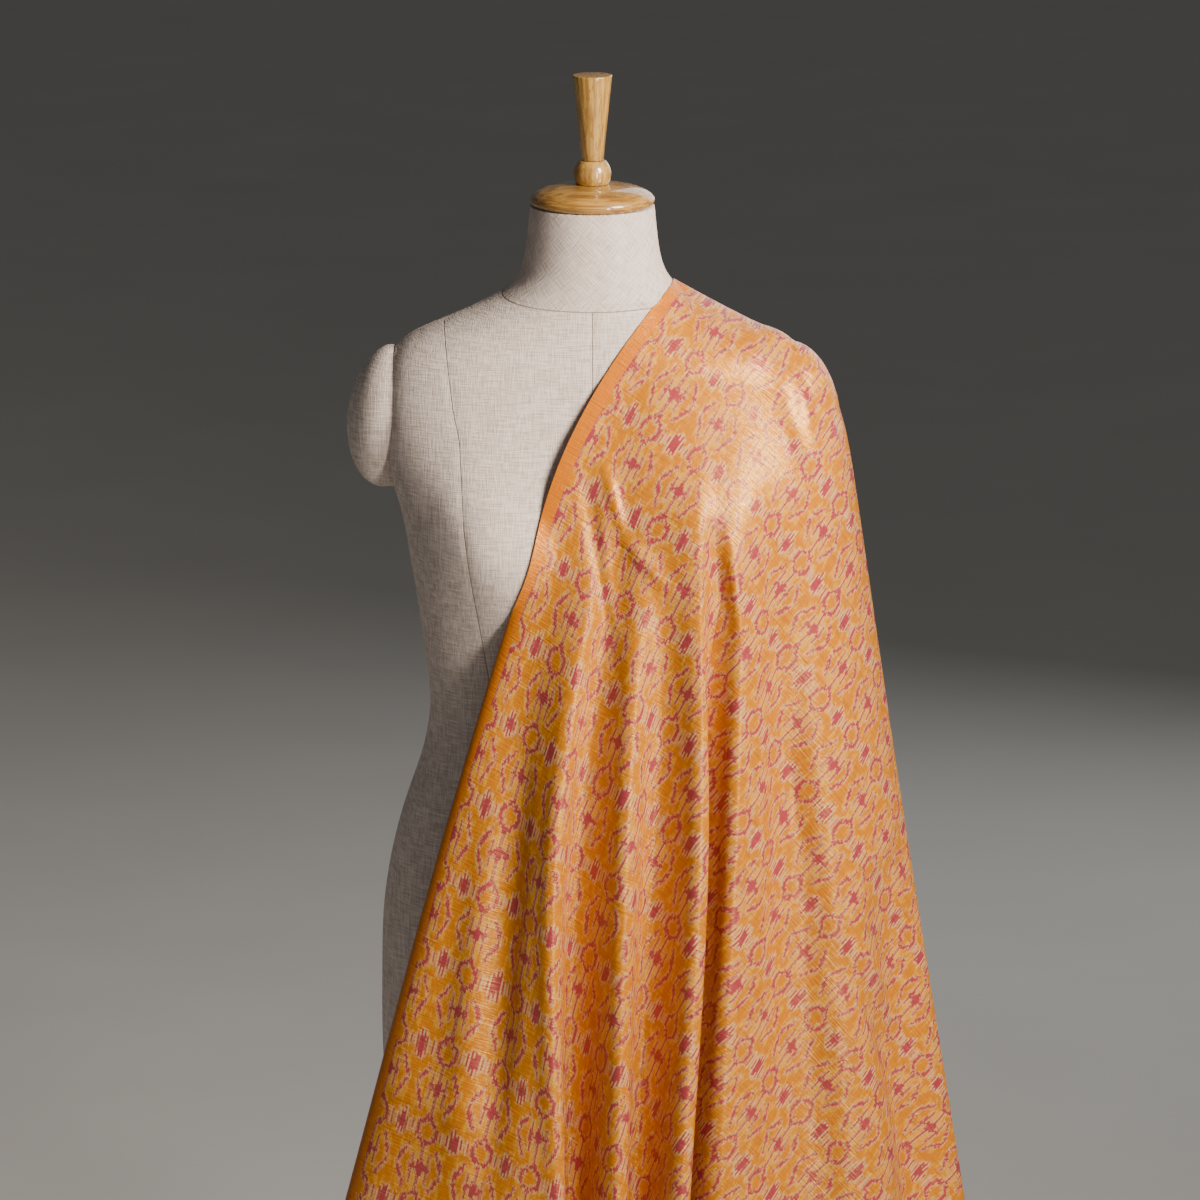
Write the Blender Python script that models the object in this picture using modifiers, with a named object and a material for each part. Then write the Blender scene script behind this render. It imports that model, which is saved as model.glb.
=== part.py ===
"""A dress form on a round foot, with a length of ikat silk draped over its left shoulder.

Metres, +Z up, the form facing -Y. The origin is on the floor, under the middle of the pole.
Every height is above the floor unless its name says otherwise.
"""

from collections import namedtuple
from math import cos, pi, sin

import bmesh
import bpy
import numpy as np
from mathutils import Vector
from mathutils.bvhtree import BVHTree

GAP = 0.0003  # between pieces that touch
SHARP_ANGLE = 0.6  # radians; an edge bent by more is shaded sharp

# The stand
FOOT_RADIUS = 0.190
FOOT_THICKNESS = 0.012
FOOT_BEVEL = 0.004
HUB_RADIUS = 0.032
HUB_TOP_RADIUS = 0.026
HUB_HEIGHT = 0.040
POLE_RADIUS = 0.0145
COLLAR_RADIUS = 0.030
COLLAR_HEIGHT = 0.036
BOARD_THICKNESS = 0.016
BOARD_INSET = 0.008

# The padded form
FORM_BOTTOM = 0.710
BODY_WAIST = 0.391  # over the form's lower edge, as all that is called above
ARM_PLATE = 0.181  # the armhole's flat face, from the middle
RING_STEP = 0.024
RING_SIDES = 36

BodySection = namedtuple("BodySection", "above half_width front back squareness")
BODY = (  # above: the height over the form's lower edge
    BodySection(0.000, 0.1890, 0.108, 0.116, 2.3),
    BodySection(0.070, 0.1925, 0.113, 0.122, 2.3),
    BodySection(0.138, 0.1925, 0.116, 0.125, 2.3),
    BodySection(0.207, 0.1900, 0.117, 0.124, 2.3),
    BodySection(0.253, 0.1825, 0.116, 0.118, 2.3),
    BodySection(0.300, 0.1700, 0.112, 0.107, 2.3),
    BodySection(0.345, 0.1540, 0.107, 0.096, 2.2),
    BodySection(0.391, 0.1463, 0.103, 0.090, 2.2),
    BodySection(0.437, 0.1515, 0.105, 0.090, 2.2),
    BodySection(0.484, 0.1575, 0.110, 0.094, 2.3),
    BodySection(0.530, 0.1650, 0.116, 0.099, 2.4),
    BodySection(0.576, 0.1730, 0.116, 0.103, 2.5),
    BodySection(0.610, 0.1880, 0.109, 0.105, 2.5),
    BodySection(0.650, 0.1980, 0.100, 0.103, 2.4),
    BodySection(0.685, 0.1970, 0.090, 0.098, 2.3),
    BodySection(0.708, 0.1900, 0.084, 0.093, 2.2),
    BodySection(0.7215, 0.1800, 0.080, 0.089, 2.1),
    BodySection(0.7325, 0.1560, 0.076, 0.084, 2.0),
    BodySection(0.7430, 0.1260, 0.072, 0.080, 2.0),
    BodySection(0.7545, 0.0990, 0.068, 0.076, 2.0),
    BodySection(0.763, 0.0800, 0.065, 0.071, 2.0),
    BodySection(0.773, 0.0690, 0.062, 0.066, 2.0),
    BodySection(0.790, 0.0620, 0.0585, 0.061, 2.0),
    BodySection(0.817, 0.0580, 0.0570, 0.058, 2.0),
    BodySection(0.843, 0.0555, 0.0550, 0.0560, 2.0),
)
BUST_SPACING = 0.100  # from the middle to each point
BUST_ABOVE = 0.548
BUST_HEIGHT = 0.036
BUST_SPREAD = 0.047
BUST_FADE = 0.05  # the bust dies out over this depth towards the sides

# The arm stubs, half ellipsoids on the armholes' flat faces
STUB_ABOVE = 0.6535
STUB_HALF_HEIGHT = 0.0645
STUB_HALF_DEPTH = 0.049
STUB_REACH = 0.039
STUB_SAG = 0.010  # how far the padding's roundest point hangs below its middle
STUB_SIDES = 24

# The turned wood at the neck, as (radius, height over the piece's underside)
CAP_PROFILE = (
    (0.0520, 0.0000),
    (0.0545, 0.0018),
    (0.0555, 0.0052),
    (0.0545, 0.0088),
    (0.0500, 0.0126),
    (0.0410, 0.0158),
    (0.0300, 0.0180),
    (0.0150, 0.0190),
)
BALL_RADIUS = 0.0168
BALL_CUT_BELOW = -0.56  # radians from the ball's middle to each flat
BALL_CUT_ABOVE = 0.82
BALL_STEPS = 12
CONE_FOOT_RADIUS = 0.0100
CONE_TOP_RADIUS = 0.0176
CONE_HEIGHT = 0.0758

# The cloth. Flat, x is across the width from the inner selvedge, and y along the length,
# with the front end at +y. It turns over the shoulder at the neck, at flat (0, 0).
CLOTH_WIDTH = 1.10
CLOTH_HALF_LENGTH = 0.94
CLOTH_THICKNESS = 0.0018
CLEARANCE = 0.0032  # from the form to the sheet's middle
RESTING_CLEARANCE = 0.0018  # the same at the neck
RESTING_REACH = (0.06, 0.14)  # from the neck to where it starts to grow, and to where it is grown
NECK_POINT = (0.070, 0.004, 1.4845)
MIDDLE_LEVEL = 1.020
LOW_LEVEL = 0.640

# A row for each line down which the cloth falls, from the neck over the form to the hem.
# lie_top, lie_low: degrees from the length of the cloth to the line, above and below the chest
# x, y, z: where the line leaves the form; then its place at the middle and the low level
# lean: how far the hollow after the line tucks back under it, as a share of the hollow's depth
# bow: how far the line strays towards the middle of the form on its way over it
FallLine = namedtuple("FallLine", "lie_top lie_low x y z mid_x mid_y low_x low_y lean bow")
FALL = {
    "front_selvedge": FallLine(0, 0, -0.034, -0.125, 1.337, -0.127, -0.137, -0.225, -0.125, 0.0, 0.009),
    "front_fold_1": FallLine(12, 12, 0.014, -0.130, 1.330, -0.033, -0.158, -0.033, -0.165, 0.25, 0.006),
    "front_fold_2": FallLine(22, 21.5, 0.047, -0.135, 1.335, 0.030, -0.160, 0.020, -0.168, 0.15, 0.003),
    "front_fold_3": FallLine(33, 31, 0.092, -0.148, 1.315, 0.098, -0.160, 0.080, -0.170, 0.3, 0),
    "front_fold_4": FallLine(45, 40, 0.134, -0.140, 1.310, 0.140, -0.152, 0.124, -0.160, 0.0, 0),
    "chest_side": FallLine(66, 47, 0.190, -0.095, 1.330, 0.222, -0.105, 0.262, -0.108, 0.0, 0),
    "arm_front": FallLine(88, 53, 0.226, 0.000, 1.362, 0.278, 0.000, 0.340, 0.000, 0.0, 0),
    "arm_middle": FallLine(98, 72, 0.221, 0.036, 1.368, 0.272, 0.078, 0.334, 0.105, 0.0, 0),
    "arm_back": FallLine(108, 90, 0.205, 0.066, 1.366, 0.232, 0.135, 0.292, 0.190, 0.0, 0),
    "back_fold_1": FallLine(120, 108, 0.160, 0.085, 1.365, 0.168, 0.168, 0.205, 0.222, 0.0, 0),
    "back_fold_2": FallLine(134, 127, 0.115, 0.105, 1.345, 0.095, 0.178, 0.112, 0.228, 0.0, 0),
    "back_fold_3": FallLine(150, 147, 0.070, 0.112, 1.330, 0.022, 0.174, 0.018, 0.216, 0.0, 0),
    "back_fold_4": FallLine(165, 163, 0.035, 0.114, 1.325, -0.045, 0.163, -0.070, 0.196, 0.0, 0),
    "back_selvedge": FallLine(180, 180, 0.000, 0.112, 1.320, -0.105, 0.148, -0.160, 0.172, 0.0, 0),
}
LIE_TURNS = (0.15, 0.30)  # along a fall line: where lie_top starts to turn into lie_low, and ends
SHEET_LEVEL_STEP = 0.010  # along a fall line, while the sheet's shape is worked out
SHEET_LONGEST = 1.56
SHEET_COLUMNS = (7, 8, 8, 8, 6, 8, 6, 6, 6, 7, 7, 7, 6)  # from each fall line to the next
SHEET_ROWS = 26
PROFILE_STEPS = 32  # across one fold, while its shape is worked out
HEADING_STEP = 0.001
STEEPEST_WAVE = 2.2  # radians
WAVE_SAMPLES = 90
CHORD_SAMPLES = 9
CORNER_TRIALS = 101
END_HEADING_POINTS = 6  # the last points of a path, whose direction it runs on in
CLEARING_SAMPLES = 4  # along each side of a cell of the sheet
TAUT_STEPS = 40
TAUT_PASSES = 120
HANGING_STEPS = 80
SOFTENING = 20  # passes that round a fall line's bends
CLEARING_PASSES = 14
DEEPEST = 0.15  # no point of the sheet starts deeper in the form than this
FOLD_SHARE = 0.7  # of the cloth's spare width goes into folds; its weave gives way by the rest
FOLDS_START = 0.15  # along a fall line: above it the cloth lies smooth, and below
FOLDS_FULL = 0.46  # this its folds are as full as its spare width makes them


def clear_scene():
    for obj in list(bpy.data.objects):
        bpy.data.objects.remove(obj)


def collection(name):
    made = bpy.data.collections.new(name)
    bpy.context.scene.collection.children.link(made)
    return made


def material(name, rgb, roughness, metallic=0.0):
    made = bpy.data.materials.new(name)
    made.use_nodes = True
    shader = made.node_tree.nodes["Principled BSDF"]
    shader.inputs["Base Color"].default_value = (*rgb, 1.0)
    shader.inputs["Roughness"].default_value = roughness
    shader.inputs["Metallic"].default_value = metallic
    return made


def slopes(knots, values):
    """The slope of a smooth curve at each of its knots, from the knots on either side."""
    steps = np.diff(knots)[:, None]
    chords = np.diff(values, axis=0) / steps
    inner = (chords[:-1] * steps[1:] + chords[1:] * steps[:-1]) / (steps[1:] + steps[:-1])
    return np.vstack([chords[:1], inner, chords[-1:]])


def smooth_curve(knots, values, at):
    """A smooth curve through values at knots, read at each number in at. Past its ends it runs straight."""
    knots = np.asarray(knots, float)
    values = np.asarray(values, float).reshape(len(knots), -1)
    slope = slopes(knots, values)
    inside = np.clip(at, knots[0], knots[-1])
    i = np.clip(np.searchsorted(knots, inside, side="right") - 1, 0, len(knots) - 2)
    width = (knots[i + 1] - knots[i])[:, None]
    s = ((inside - knots[i])[:, None]) / width
    read = (
        values[i] * (1 + 2 * s) * (1 - s) ** 2
        + slope[i] * width * s * (1 - s) ** 2
        + values[i + 1] * s**2 * (3 - 2 * s)
        + slope[i + 1] * width * s**2 * (s - 1)
    )
    past = (at - inside)[:, None]
    return read + past * np.where(past < 0, slope[:1], slope[-1:])


def body_rings(heights, sides):
    """The form's outline at each height over its lower edge, as an array of rings of points."""
    table = np.array(BODY)
    read = smooth_curve(table[:, 0], table[:, 1:], heights)
    half_width, front, back, squareness = (column[:, None] for column in read.T)
    turn = np.linspace(0, 2 * pi, sides, endpoint=False)[None, :]
    power = 2 / squareness
    x = half_width * np.sign(np.cos(turn)) * np.abs(np.cos(turn)) ** power
    depth = np.where(np.sin(turn) < 0, front, back)
    y = depth * np.sign(np.sin(turn)) * np.abs(np.sin(turn)) ** power
    above = np.broadcast_to(np.asarray(heights)[:, None], x.shape)
    for side in (-1, 1):
        away = (x - side * BUST_SPACING) ** 2 + (above - BUST_ABOVE) ** 2
        y = y - (y < 0) * BUST_HEIGHT * np.exp(-away / (2 * BUST_SPREAD**2)) * np.clip(-y / BUST_FADE, 0, 1)
    x = np.where(above > BODY_WAIST, np.clip(x, -ARM_PLATE, ARM_PLATE), x)
    return np.stack([x, y, above + FORM_BOTTOM], axis=-1)


def loft(rings):
    """A closed bmesh through rings of points, from the lowest ring to the highest."""
    mesh = bmesh.new()
    verts = [[mesh.verts.new(point) for point in ring] for ring in rings]
    sides = len(verts[0])
    for low, high in zip(verts, verts[1:]):
        for a in range(sides):
            b = (a + 1) % sides
            mesh.faces.new((low[a], low[b], high[b], high[a]))
    mesh.faces.new(verts[0][::-1])
    mesh.faces.new(verts[-1])
    return mesh


def add_object(name, mesh, finish, group):
    """Turns a bmesh into a named object of the group, shaded smooth but for its edges."""
    data = bpy.data.meshes.new(name)
    mesh.to_mesh(data)
    mesh.free()
    data.shade_smooth()
    data.set_sharp_from_angle(angle=SHARP_ANGLE)
    obj = bpy.data.objects.new(name, data)
    obj.data.materials.append(finish)
    group.objects.link(obj)
    return obj


def turned(name, profile, height, finish, group, steps):
    """A turned piece: its profile is (radius, height over its underside), from the bottom up."""
    mesh = bmesh.new()
    outline = [(0.0, profile[0][1]), *profile, (0.0, profile[-1][1])]
    verts = [mesh.verts.new((radius, 0.0, level)) for radius, level in outline[::-1]]
    for upper, lower in zip(verts, verts[1:]):
        mesh.edges.new((upper, lower))
    obj = add_object(name, mesh, finish, group)
    obj.location.z = height
    screw = obj.modifiers.new("turn", "SCREW")
    screw.steps = screw.render_steps = steps
    screw.use_merge_vertices = True
    screw.merge_threshold = 0.0001
    screw.use_smooth_shade = True
    return obj


def cylinder(radius, height):
    return ((radius, 0.0), (radius, height))


def ball_profile():
    """A ball cut flat where it meets the cap below it and the cone above it."""
    turns = np.linspace(BALL_CUT_BELOW, BALL_CUT_ABOVE, BALL_STEPS)
    return tuple((BALL_RADIUS * cos(turn), BALL_RADIUS * (sin(turn) - sin(BALL_CUT_BELOW))) for turn in turns)


def surface_tree(*meshes):
    """Something that finds the nearest point of these bmeshes."""
    points, faces = [], []
    for mesh in meshes:
        mesh.verts.index_update()
        mesh.normal_update()
        first = len(points)
        points += [vert.co.copy() for vert in mesh.verts]
        faces += [[first + vert.index for vert in face.verts] for face in mesh.faces]
    return BVHTree.FromPolygons(points, faces)


def clearance(points):
    """How far the sheet's middle stays from the form: least at the neck, where the cloth's weight rests."""
    away = np.linalg.norm(points - np.array(NECK_POINT), axis=-1)
    return RESTING_CLEARANCE + (CLEARANCE - RESTING_CLEARANCE) * smooth_step(*RESTING_REACH, away)


def clear_of(tree, points):
    """The points, with each that lies in the form or too near to it moved out."""
    moved = np.array(points, float)
    for index, gap in enumerate(clearance(moved)):
        point = Vector(moved[index])
        nearest, normal, _, distance = tree.find_nearest(point)
        if (point - nearest).dot(normal) < gap and distance < DEEPEST:
            moved[index] = nearest + normal * gap
    return moved


def taut_path(tree, start, end):
    """A path pulled tight over the form between two points."""
    points = np.linspace(start, end, TAUT_STEPS + 1)
    for _ in range(TAUT_PASSES):
        points[1:-1] = (points[:-2] + points[2:]) / 2
        points[1:-1] = clear_of(tree, points[1:-1])
    return points


def even_path(points, step, longest):
    """The points of a path at even lengths along it, run straight past its end."""
    lengths = np.concatenate([[0], np.cumsum(np.linalg.norm(np.diff(points, axis=0), axis=1))])
    wanted = np.arange(0, longest + step / 2, step)
    even = np.stack([np.interp(wanted, lengths, axis) for axis in points.T], axis=1)
    past = np.maximum(wanted - lengths[-1], 0)[:, None]
    heading = points[-1] - points[-END_HEADING_POINTS]
    return even + past * heading / np.linalg.norm(heading)


def fall_path(line, tree):
    """Where the cloth's points on a fall line are, every SHEET_LEVEL_STEP from the neck down."""
    stops = np.array([
        NECK_POINT,
        (line.x, line.y, line.z),
        (line.mid_x, line.mid_y, MIDDLE_LEVEL),
        (line.low_x, line.low_y, LOW_LEVEL),
    ])
    over_form = taut_path(tree, stops[0], stops[1])
    over_form[:, 0] -= line.bow * np.sin(np.linspace(0, pi, len(over_form)))
    knots = np.concatenate([[0], np.cumsum(np.linalg.norm(np.diff(stops[1:], axis=0), axis=1))])
    hanging = smooth_curve(knots, stops[1:], np.linspace(0, knots[-1], HANGING_STEPS))
    path = clear_of(tree, np.vstack([over_form, hanging[1:]]))
    even = even_path(path, SHEET_LEVEL_STEP, SHEET_LONGEST)
    for _ in range(SOFTENING):
        even[1:-1] = (even[:-2] + 2 * even[1:-1] + even[2:]) / 4
    return even


def smooth_step(low, high, value):
    share = np.clip((value - low) / (high - low), 0, 1)
    return share * share * (3 - 2 * share)


def flat_path(lie_top, lie_low):
    """Where the same points are on the flat cloth, every SHEET_LEVEL_STEP."""
    levels = np.arange(0, SHEET_LONGEST + SHEET_LEVEL_STEP / 2, SHEET_LEVEL_STEP)
    lie = np.radians(lie_top + (lie_low - lie_top) * smooth_step(*LIE_TURNS, levels))
    steps = np.stack([np.sin(lie), np.cos(lie)], axis=1) * SHEET_LEVEL_STEP
    return np.vstack([[0, 0], np.cumsum(steps, axis=0)[:-1]])


def waviness(shares):
    """The steepest angle of a meandering line whose ends are these shares of its own length apart."""
    angles = np.linspace(0, STEEPEST_WAVE, WAVE_SAMPLES)
    turns = np.linspace(0, 2 * pi, WAVE_SAMPLES, endpoint=False)
    reaches = np.cos(angles[:, None] * np.sin(turns)).mean(axis=1)
    return np.interp(-shares, -reaches, angles)


def fold_profiles(paths, flats, leans):
    """Across each level, the cloth between each two fall lines, bent into a meander that uses up its width.

    It returns profiles[fold][level][step], a point each, evenly spaced along the cloth.
    """
    levels = paths.shape[1]
    along_fall = np.arange(levels) * SHEET_LEVEL_STEP
    fullness = smooth_step(FOLDS_START, FOLDS_FULL, along_fall)
    widths = np.linalg.norm(np.diff(flats, axis=0), axis=2)
    across = np.linspace(0, 1, PROFILE_STEPS + 1)
    middles = (across[:-1] + across[1:]) / 2
    profiles = np.zeros((len(widths), levels, PROFILE_STEPS + 1, 3))
    profiles[:, 0] = paths[0, 0]
    for level in range(1, levels):
        stops = paths[:, level]
        knots = np.concatenate([[0], np.cumsum(np.linalg.norm(np.diff(stops, axis=0), axis=1))])
        for fold, width in enumerate(widths[:, level]):
            start, end = knots[fold:fold + 2]
            straight = smooth_curve(knots, stops, np.linspace(start, end, CHORD_SAMPLES))
            chord = np.linalg.norm(np.diff(straight, axis=0), axis=1).sum()
            width = chord + max(width - chord, 0) * FOLD_SHARE
            steepest = waviness(chord / width) * fullness[level]
            angle = steepest * np.sin(2 * pi * middles)
            along = np.concatenate([[0], np.cumsum(np.cos(angle))])
            depth = np.concatenate([[0], np.cumsum(np.sin(angle))]) * width / PROFILE_STEPS
            place = start + (end - start) * along / along[-1]
            hull = smooth_curve(knots, stops, place)
            heading = smooth_curve(knots, stops, place + HEADING_STEP) - hull
            heading[:, 2] = 0
            heading /= np.linalg.norm(heading, axis=1)[:, None] + 1e-9
            inward = np.stack([-heading[:, 1], heading[:, 0], np.zeros(len(heading))], axis=1)
            profiles[fold, level] = hull + depth[:, None] * (inward - leans[fold] * heading)
    return profiles


def hem(before, after, share):
    """The hem at this share of the way between two fall lines.

    It returns how far down the cloth's edge lies, and by how much the place is more a part of the
    cloth's width than of its half length: nothing at a corner.
    """
    flat = flat_path(
        before.lie_top + (after.lie_top - before.lie_top) * share,
        before.lie_low + (after.lie_low - before.lie_low) * share,
    )
    over = np.abs(flat) / (CLOTH_WIDTH, CLOTH_HALF_LENGTH)
    levels = np.arange(len(flat)) * SHEET_LEVEL_STEP
    reach = np.interp(1.0, over.max(axis=1), levels)
    return reach, np.interp(reach, levels, over[:, 0] - over[:, 1])


def column_shares(before, after, count):
    """The columns, as places from one fall line to the next, one of them on the corner if it is there."""
    shares = np.linspace(0, 1, count, endpoint=False)
    trial = np.linspace(0, 1, CORNER_TRIALS)
    sides = np.sign([hem(before, after, share)[1] for share in trial])
    turns = np.flatnonzero(np.diff(sides))
    if len(turns):
        corner = trial[turns[0]]
        shares[np.abs(shares[1:] - corner).argmin() + 1] = corner
    return shares


def sheet_grid(tree):
    """The draped sheet's middle surface, as rows from the neck to the hem, each from selvedge to selvedge."""
    lines = list(FALL.values())
    paths = np.array([fall_path(line, tree) for line in lines])
    flats = np.array([flat_path(line.lie_top, line.lie_low) for line in lines])
    profiles = fold_profiles(paths, flats, [line.lean for line in lines])
    levels = np.arange(paths.shape[1]) * SHEET_LEVEL_STEP
    even_rows = np.linspace(0, 1, SHEET_ROWS + 1)
    row_shares = even_rows * (1 + even_rows) / 2
    columns = []
    for before, after, count, profile in zip(lines, lines[1:], SHEET_COLUMNS, profiles):
        shares = column_shares(before, after, count)
        if after is lines[-1]:
            shares = np.append(shares, 1.0)
        for share in shares:
            step = min(int(share * PROFILE_STEPS), PROFILE_STEPS - 1)
            past = share * PROFILE_STEPS - step
            down = profile[:, step] * (1 - past) + profile[:, step + 1] * past
            wanted = row_shares * hem(before, after, share)[0]
            columns.append(np.stack([np.interp(wanted, levels, axis) for axis in down.T], axis=1))
    grid = np.array(columns).transpose(1, 0, 2)
    return clear_of(tree, grid.reshape(-1, 3)).reshape(grid.shape)


def clear_between(tree, grid):
    """The grid, moved out wherever the sheet would come too near to the form between its points."""
    grid = grid.copy()
    corners = grid[:-1, :-1], grid[:-1, 1:], grid[1:, :-1], grid[1:, 1:]
    shares = np.linspace(0, 1, CLEARING_SAMPLES)
    for down, over in [(down, over) for down in shares for over in shares] * CLEARING_PASSES:
        weights = (1 - down) * (1 - over), (1 - down) * over, down * (1 - over), down * over
        places = sum(weight * corner for weight, corner in zip(weights, corners))
        lift = clear_of(tree, places.reshape(-1, 3)).reshape(places.shape) - places
        reach = sum(weight**2 for weight in weights)
        for weight, corner in zip(weights, corners):
            corner += lift * weight / reach
    return grid


def sheet_mesh(grid):
    """A bmesh of the grid, whose first row is a single point."""
    mesh = bmesh.new()
    neck = mesh.verts.new(grid[0, 0])
    rows = [[mesh.verts.new(point) for point in row] for row in grid[1:]]
    for a, b in zip(rows[0], rows[0][1:]):
        mesh.faces.new((neck, a, b))
    for upper, lower in zip(rows, rows[1:]):
        for i in range(len(upper) - 1):
            mesh.faces.new((upper[i], lower[i], lower[i + 1], upper[i + 1]))
    return mesh


def ring_heights():
    top = BODY[-1].above
    return np.linspace(0, top, round(top / RING_STEP) + 1)


def stub_mesh(side):
    """An arm stub: half an ellipsoid standing on the armhole's flat face."""
    mesh = bmesh.new()
    bmesh.ops.create_uvsphere(mesh, u_segments=STUB_SIDES, v_segments=STUB_SIDES // 2, radius=1.0)
    everything = mesh.verts[:] + mesh.edges[:] + mesh.faces[:]
    cut = bmesh.ops.bisect_plane(
        mesh, geom=everything, plane_co=(0, 0, 0), plane_no=(-1, 0, 0), clear_outer=True
    )
    rim = [part for part in cut["geom_cut"] if isinstance(part, bmesh.types.BMEdge)]
    bmesh.ops.contextual_create(mesh, geom=rim)
    for vert in mesh.verts:
        vert.co.z = vert.co.z * STUB_HALF_HEIGHT - vert.co.x * STUB_SAG + STUB_ABOVE + FORM_BOTTOM
        vert.co.x = side * (vert.co.x * STUB_REACH + ARM_PLATE + GAP)
        vert.co.y *= STUB_HALF_DEPTH
    mesh.normal_update()
    bmesh.ops.recalc_face_normals(mesh, faces=mesh.faces)
    return mesh


def space_taken(stubs):
    """What the cloth keeps clear of: the form, carried straight down to the floor, and its arm stubs."""
    rings = body_rings(ring_heights(), RING_SIDES)
    on_floor = rings[0] - (0, 0, FORM_BOTTOM)
    column = loft([on_floor, *rings])
    tree = surface_tree(column, *stubs)
    column.free()
    return tree


def base_board(low):
    """The wooden board that closes the form from below, as a loft of the form's own outline."""
    outline = body_rings([0.0], RING_SIDES)[0]
    inset = 1 - BOARD_INSET / BODY[0].front
    rings = [outline * (inset, inset, 0) + (0, 0, height) for height in (low, low + BOARD_THICKNESS)]
    return loft(rings)


def make_form(group):
    linen = material("natural_linen", (0.55, 0.50, 0.46), 0.9)
    stubs = {"left": stub_mesh(1), "right": stub_mesh(-1)}
    tree = space_taken(stubs.values())
    add_object("torso", loft(body_rings(ring_heights(), RING_SIDES)), linen, group)
    for side, stub in stubs.items():
        add_object(f"arm_stub_{side}", stub, linen, group)
    return tree


def make_finial(group):
    """The turned wood on the neck, each piece on the one below it."""
    wood = material("varnished_wood", (0.55, 0.36, 0.13), 0.3)
    cone = ((CONE_FOOT_RADIUS, 0.0), (CONE_TOP_RADIUS, CONE_HEIGHT))
    height = FORM_BOTTOM + BODY[-1].above + GAP
    for name, profile, steps in (
        ("neck_cap", CAP_PROFILE, 40),
        ("finial_ball", ball_profile(), 28),
        ("finial_cone", cone, 28),
    ):
        turned(name, profile, height, wood, group, steps)
        height += profile[-1][1] + GAP


def make_stand(group):
    """The board under the form, and the collar, pole and foot that carry it."""
    wood = material("sanded_board", (0.50, 0.36, 0.20), 0.6)
    iron = material("painted_iron", (0.05, 0.05, 0.055), 0.5)
    steel = material("brushed_steel", (0.55, 0.55, 0.56), 0.35, 1.0)
    board_low = FORM_BOTTOM - GAP - BOARD_THICKNESS
    collar_low = board_low - GAP - COLLAR_HEIGHT
    pole_low = HUB_HEIGHT + GAP
    foot = (
        (FOOT_RADIUS, 0.0),
        (FOOT_RADIUS, FOOT_THICKNESS - FOOT_BEVEL),
        (FOOT_RADIUS - FOOT_BEVEL, FOOT_THICKNESS),
        (HUB_RADIUS, FOOT_THICKNESS),
        (HUB_TOP_RADIUS, HUB_HEIGHT),
    )
    add_object("base_board", base_board(board_low), wood, group)
    turned("pole_collar", cylinder(COLLAR_RADIUS, COLLAR_HEIGHT), collar_low, iron, group, steps=28)
    turned("pole", cylinder(POLE_RADIUS, collar_low - GAP - pole_low), pole_low, steel, group, steps=24)
    turned("floor_foot", foot, 0.0, iron, group, steps=48)


def make_cloth(tree, group):
    silk = material("ikat_silk", (0.72, 0.36, 0.13), 0.4)
    sheet = clear_between(tree, sheet_grid(tree))
    cloth = add_object("ikat_cloth", sheet_mesh(sheet), silk, group)
    thickness = cloth.modifiers.new("thickness", "SOLIDIFY")
    thickness.thickness = CLOTH_THICKNESS
    thickness.offset = 0


def main():
    clear_scene()
    group = collection("draped_dress_form")
    tree = make_form(group)
    make_finial(group)
    make_stand(group)
    make_cloth(tree, group)


main()
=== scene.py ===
"""The looks of a linen dress form with a length of ikat silk draped over its left shoulder.

Metres, +Z up, the form facing -Y, in the frame's own axes. +X is on the viewer's right.
"""

from collections import namedtuple
from math import cos, pi, radians, sin

import bmesh
import bpy
import numpy as np
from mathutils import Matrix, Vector
from mathutils.bvhtree import BVHTree


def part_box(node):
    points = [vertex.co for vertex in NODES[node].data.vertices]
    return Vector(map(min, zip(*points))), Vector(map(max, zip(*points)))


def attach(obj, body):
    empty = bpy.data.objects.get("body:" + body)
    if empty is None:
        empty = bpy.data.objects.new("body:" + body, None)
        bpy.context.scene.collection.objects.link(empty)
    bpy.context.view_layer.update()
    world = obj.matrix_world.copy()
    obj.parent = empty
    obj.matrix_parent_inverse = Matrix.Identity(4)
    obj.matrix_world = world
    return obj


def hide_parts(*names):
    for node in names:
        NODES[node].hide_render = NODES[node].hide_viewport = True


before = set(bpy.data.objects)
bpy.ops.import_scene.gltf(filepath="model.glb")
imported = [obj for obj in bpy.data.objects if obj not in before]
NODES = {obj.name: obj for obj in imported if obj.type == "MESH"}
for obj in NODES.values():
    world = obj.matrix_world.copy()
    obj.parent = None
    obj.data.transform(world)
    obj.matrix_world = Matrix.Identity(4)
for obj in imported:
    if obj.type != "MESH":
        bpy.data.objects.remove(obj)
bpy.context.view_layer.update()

MM = 0.001


def new_object(name, data):
    """A new object in the scene."""
    made = bpy.data.objects.new(name, data)
    bpy.context.scene.collection.objects.link(made)
    return made


# ---------------- the camera

CAMERA_AIM = Vector((0.0068, 0.0, 1.1935))
CAMERA_AWAY = 6.0
CAMERA_DOWN = radians(13)  # how far it looks down
CAMERA_LENS = 200.0
CAMERA_SENSOR = 36.0


def make_camera():
    data = bpy.data.cameras.new("studio_camera")
    data.lens = CAMERA_LENS
    data.sensor_width = CAMERA_SENSOR
    data.clip_end = 200.0
    camera = new_object("studio_camera", data)
    back = Vector((0.0, -cos(CAMERA_DOWN), sin(CAMERA_DOWN)))
    camera.location = CAMERA_AIM + back * CAMERA_AWAY
    camera.rotation_euler = (pi / 2 - CAMERA_DOWN, 0.0, 0.0)
    bpy.context.scene.camera = camera


# ---------------- colours and nodes


def colour(hex_code):
    """An sRGB hex colour as the linear colour that a shader takes."""
    channels = [int(hex_code[i:i + 2], 16) / 255 for i in (1, 3, 5)]
    linear = [c / 12.92 if c <= 0.04045 else ((c + 0.055) / 1.055) ** 2.4 for c in channels]
    return (*linear, 1.0)


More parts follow.
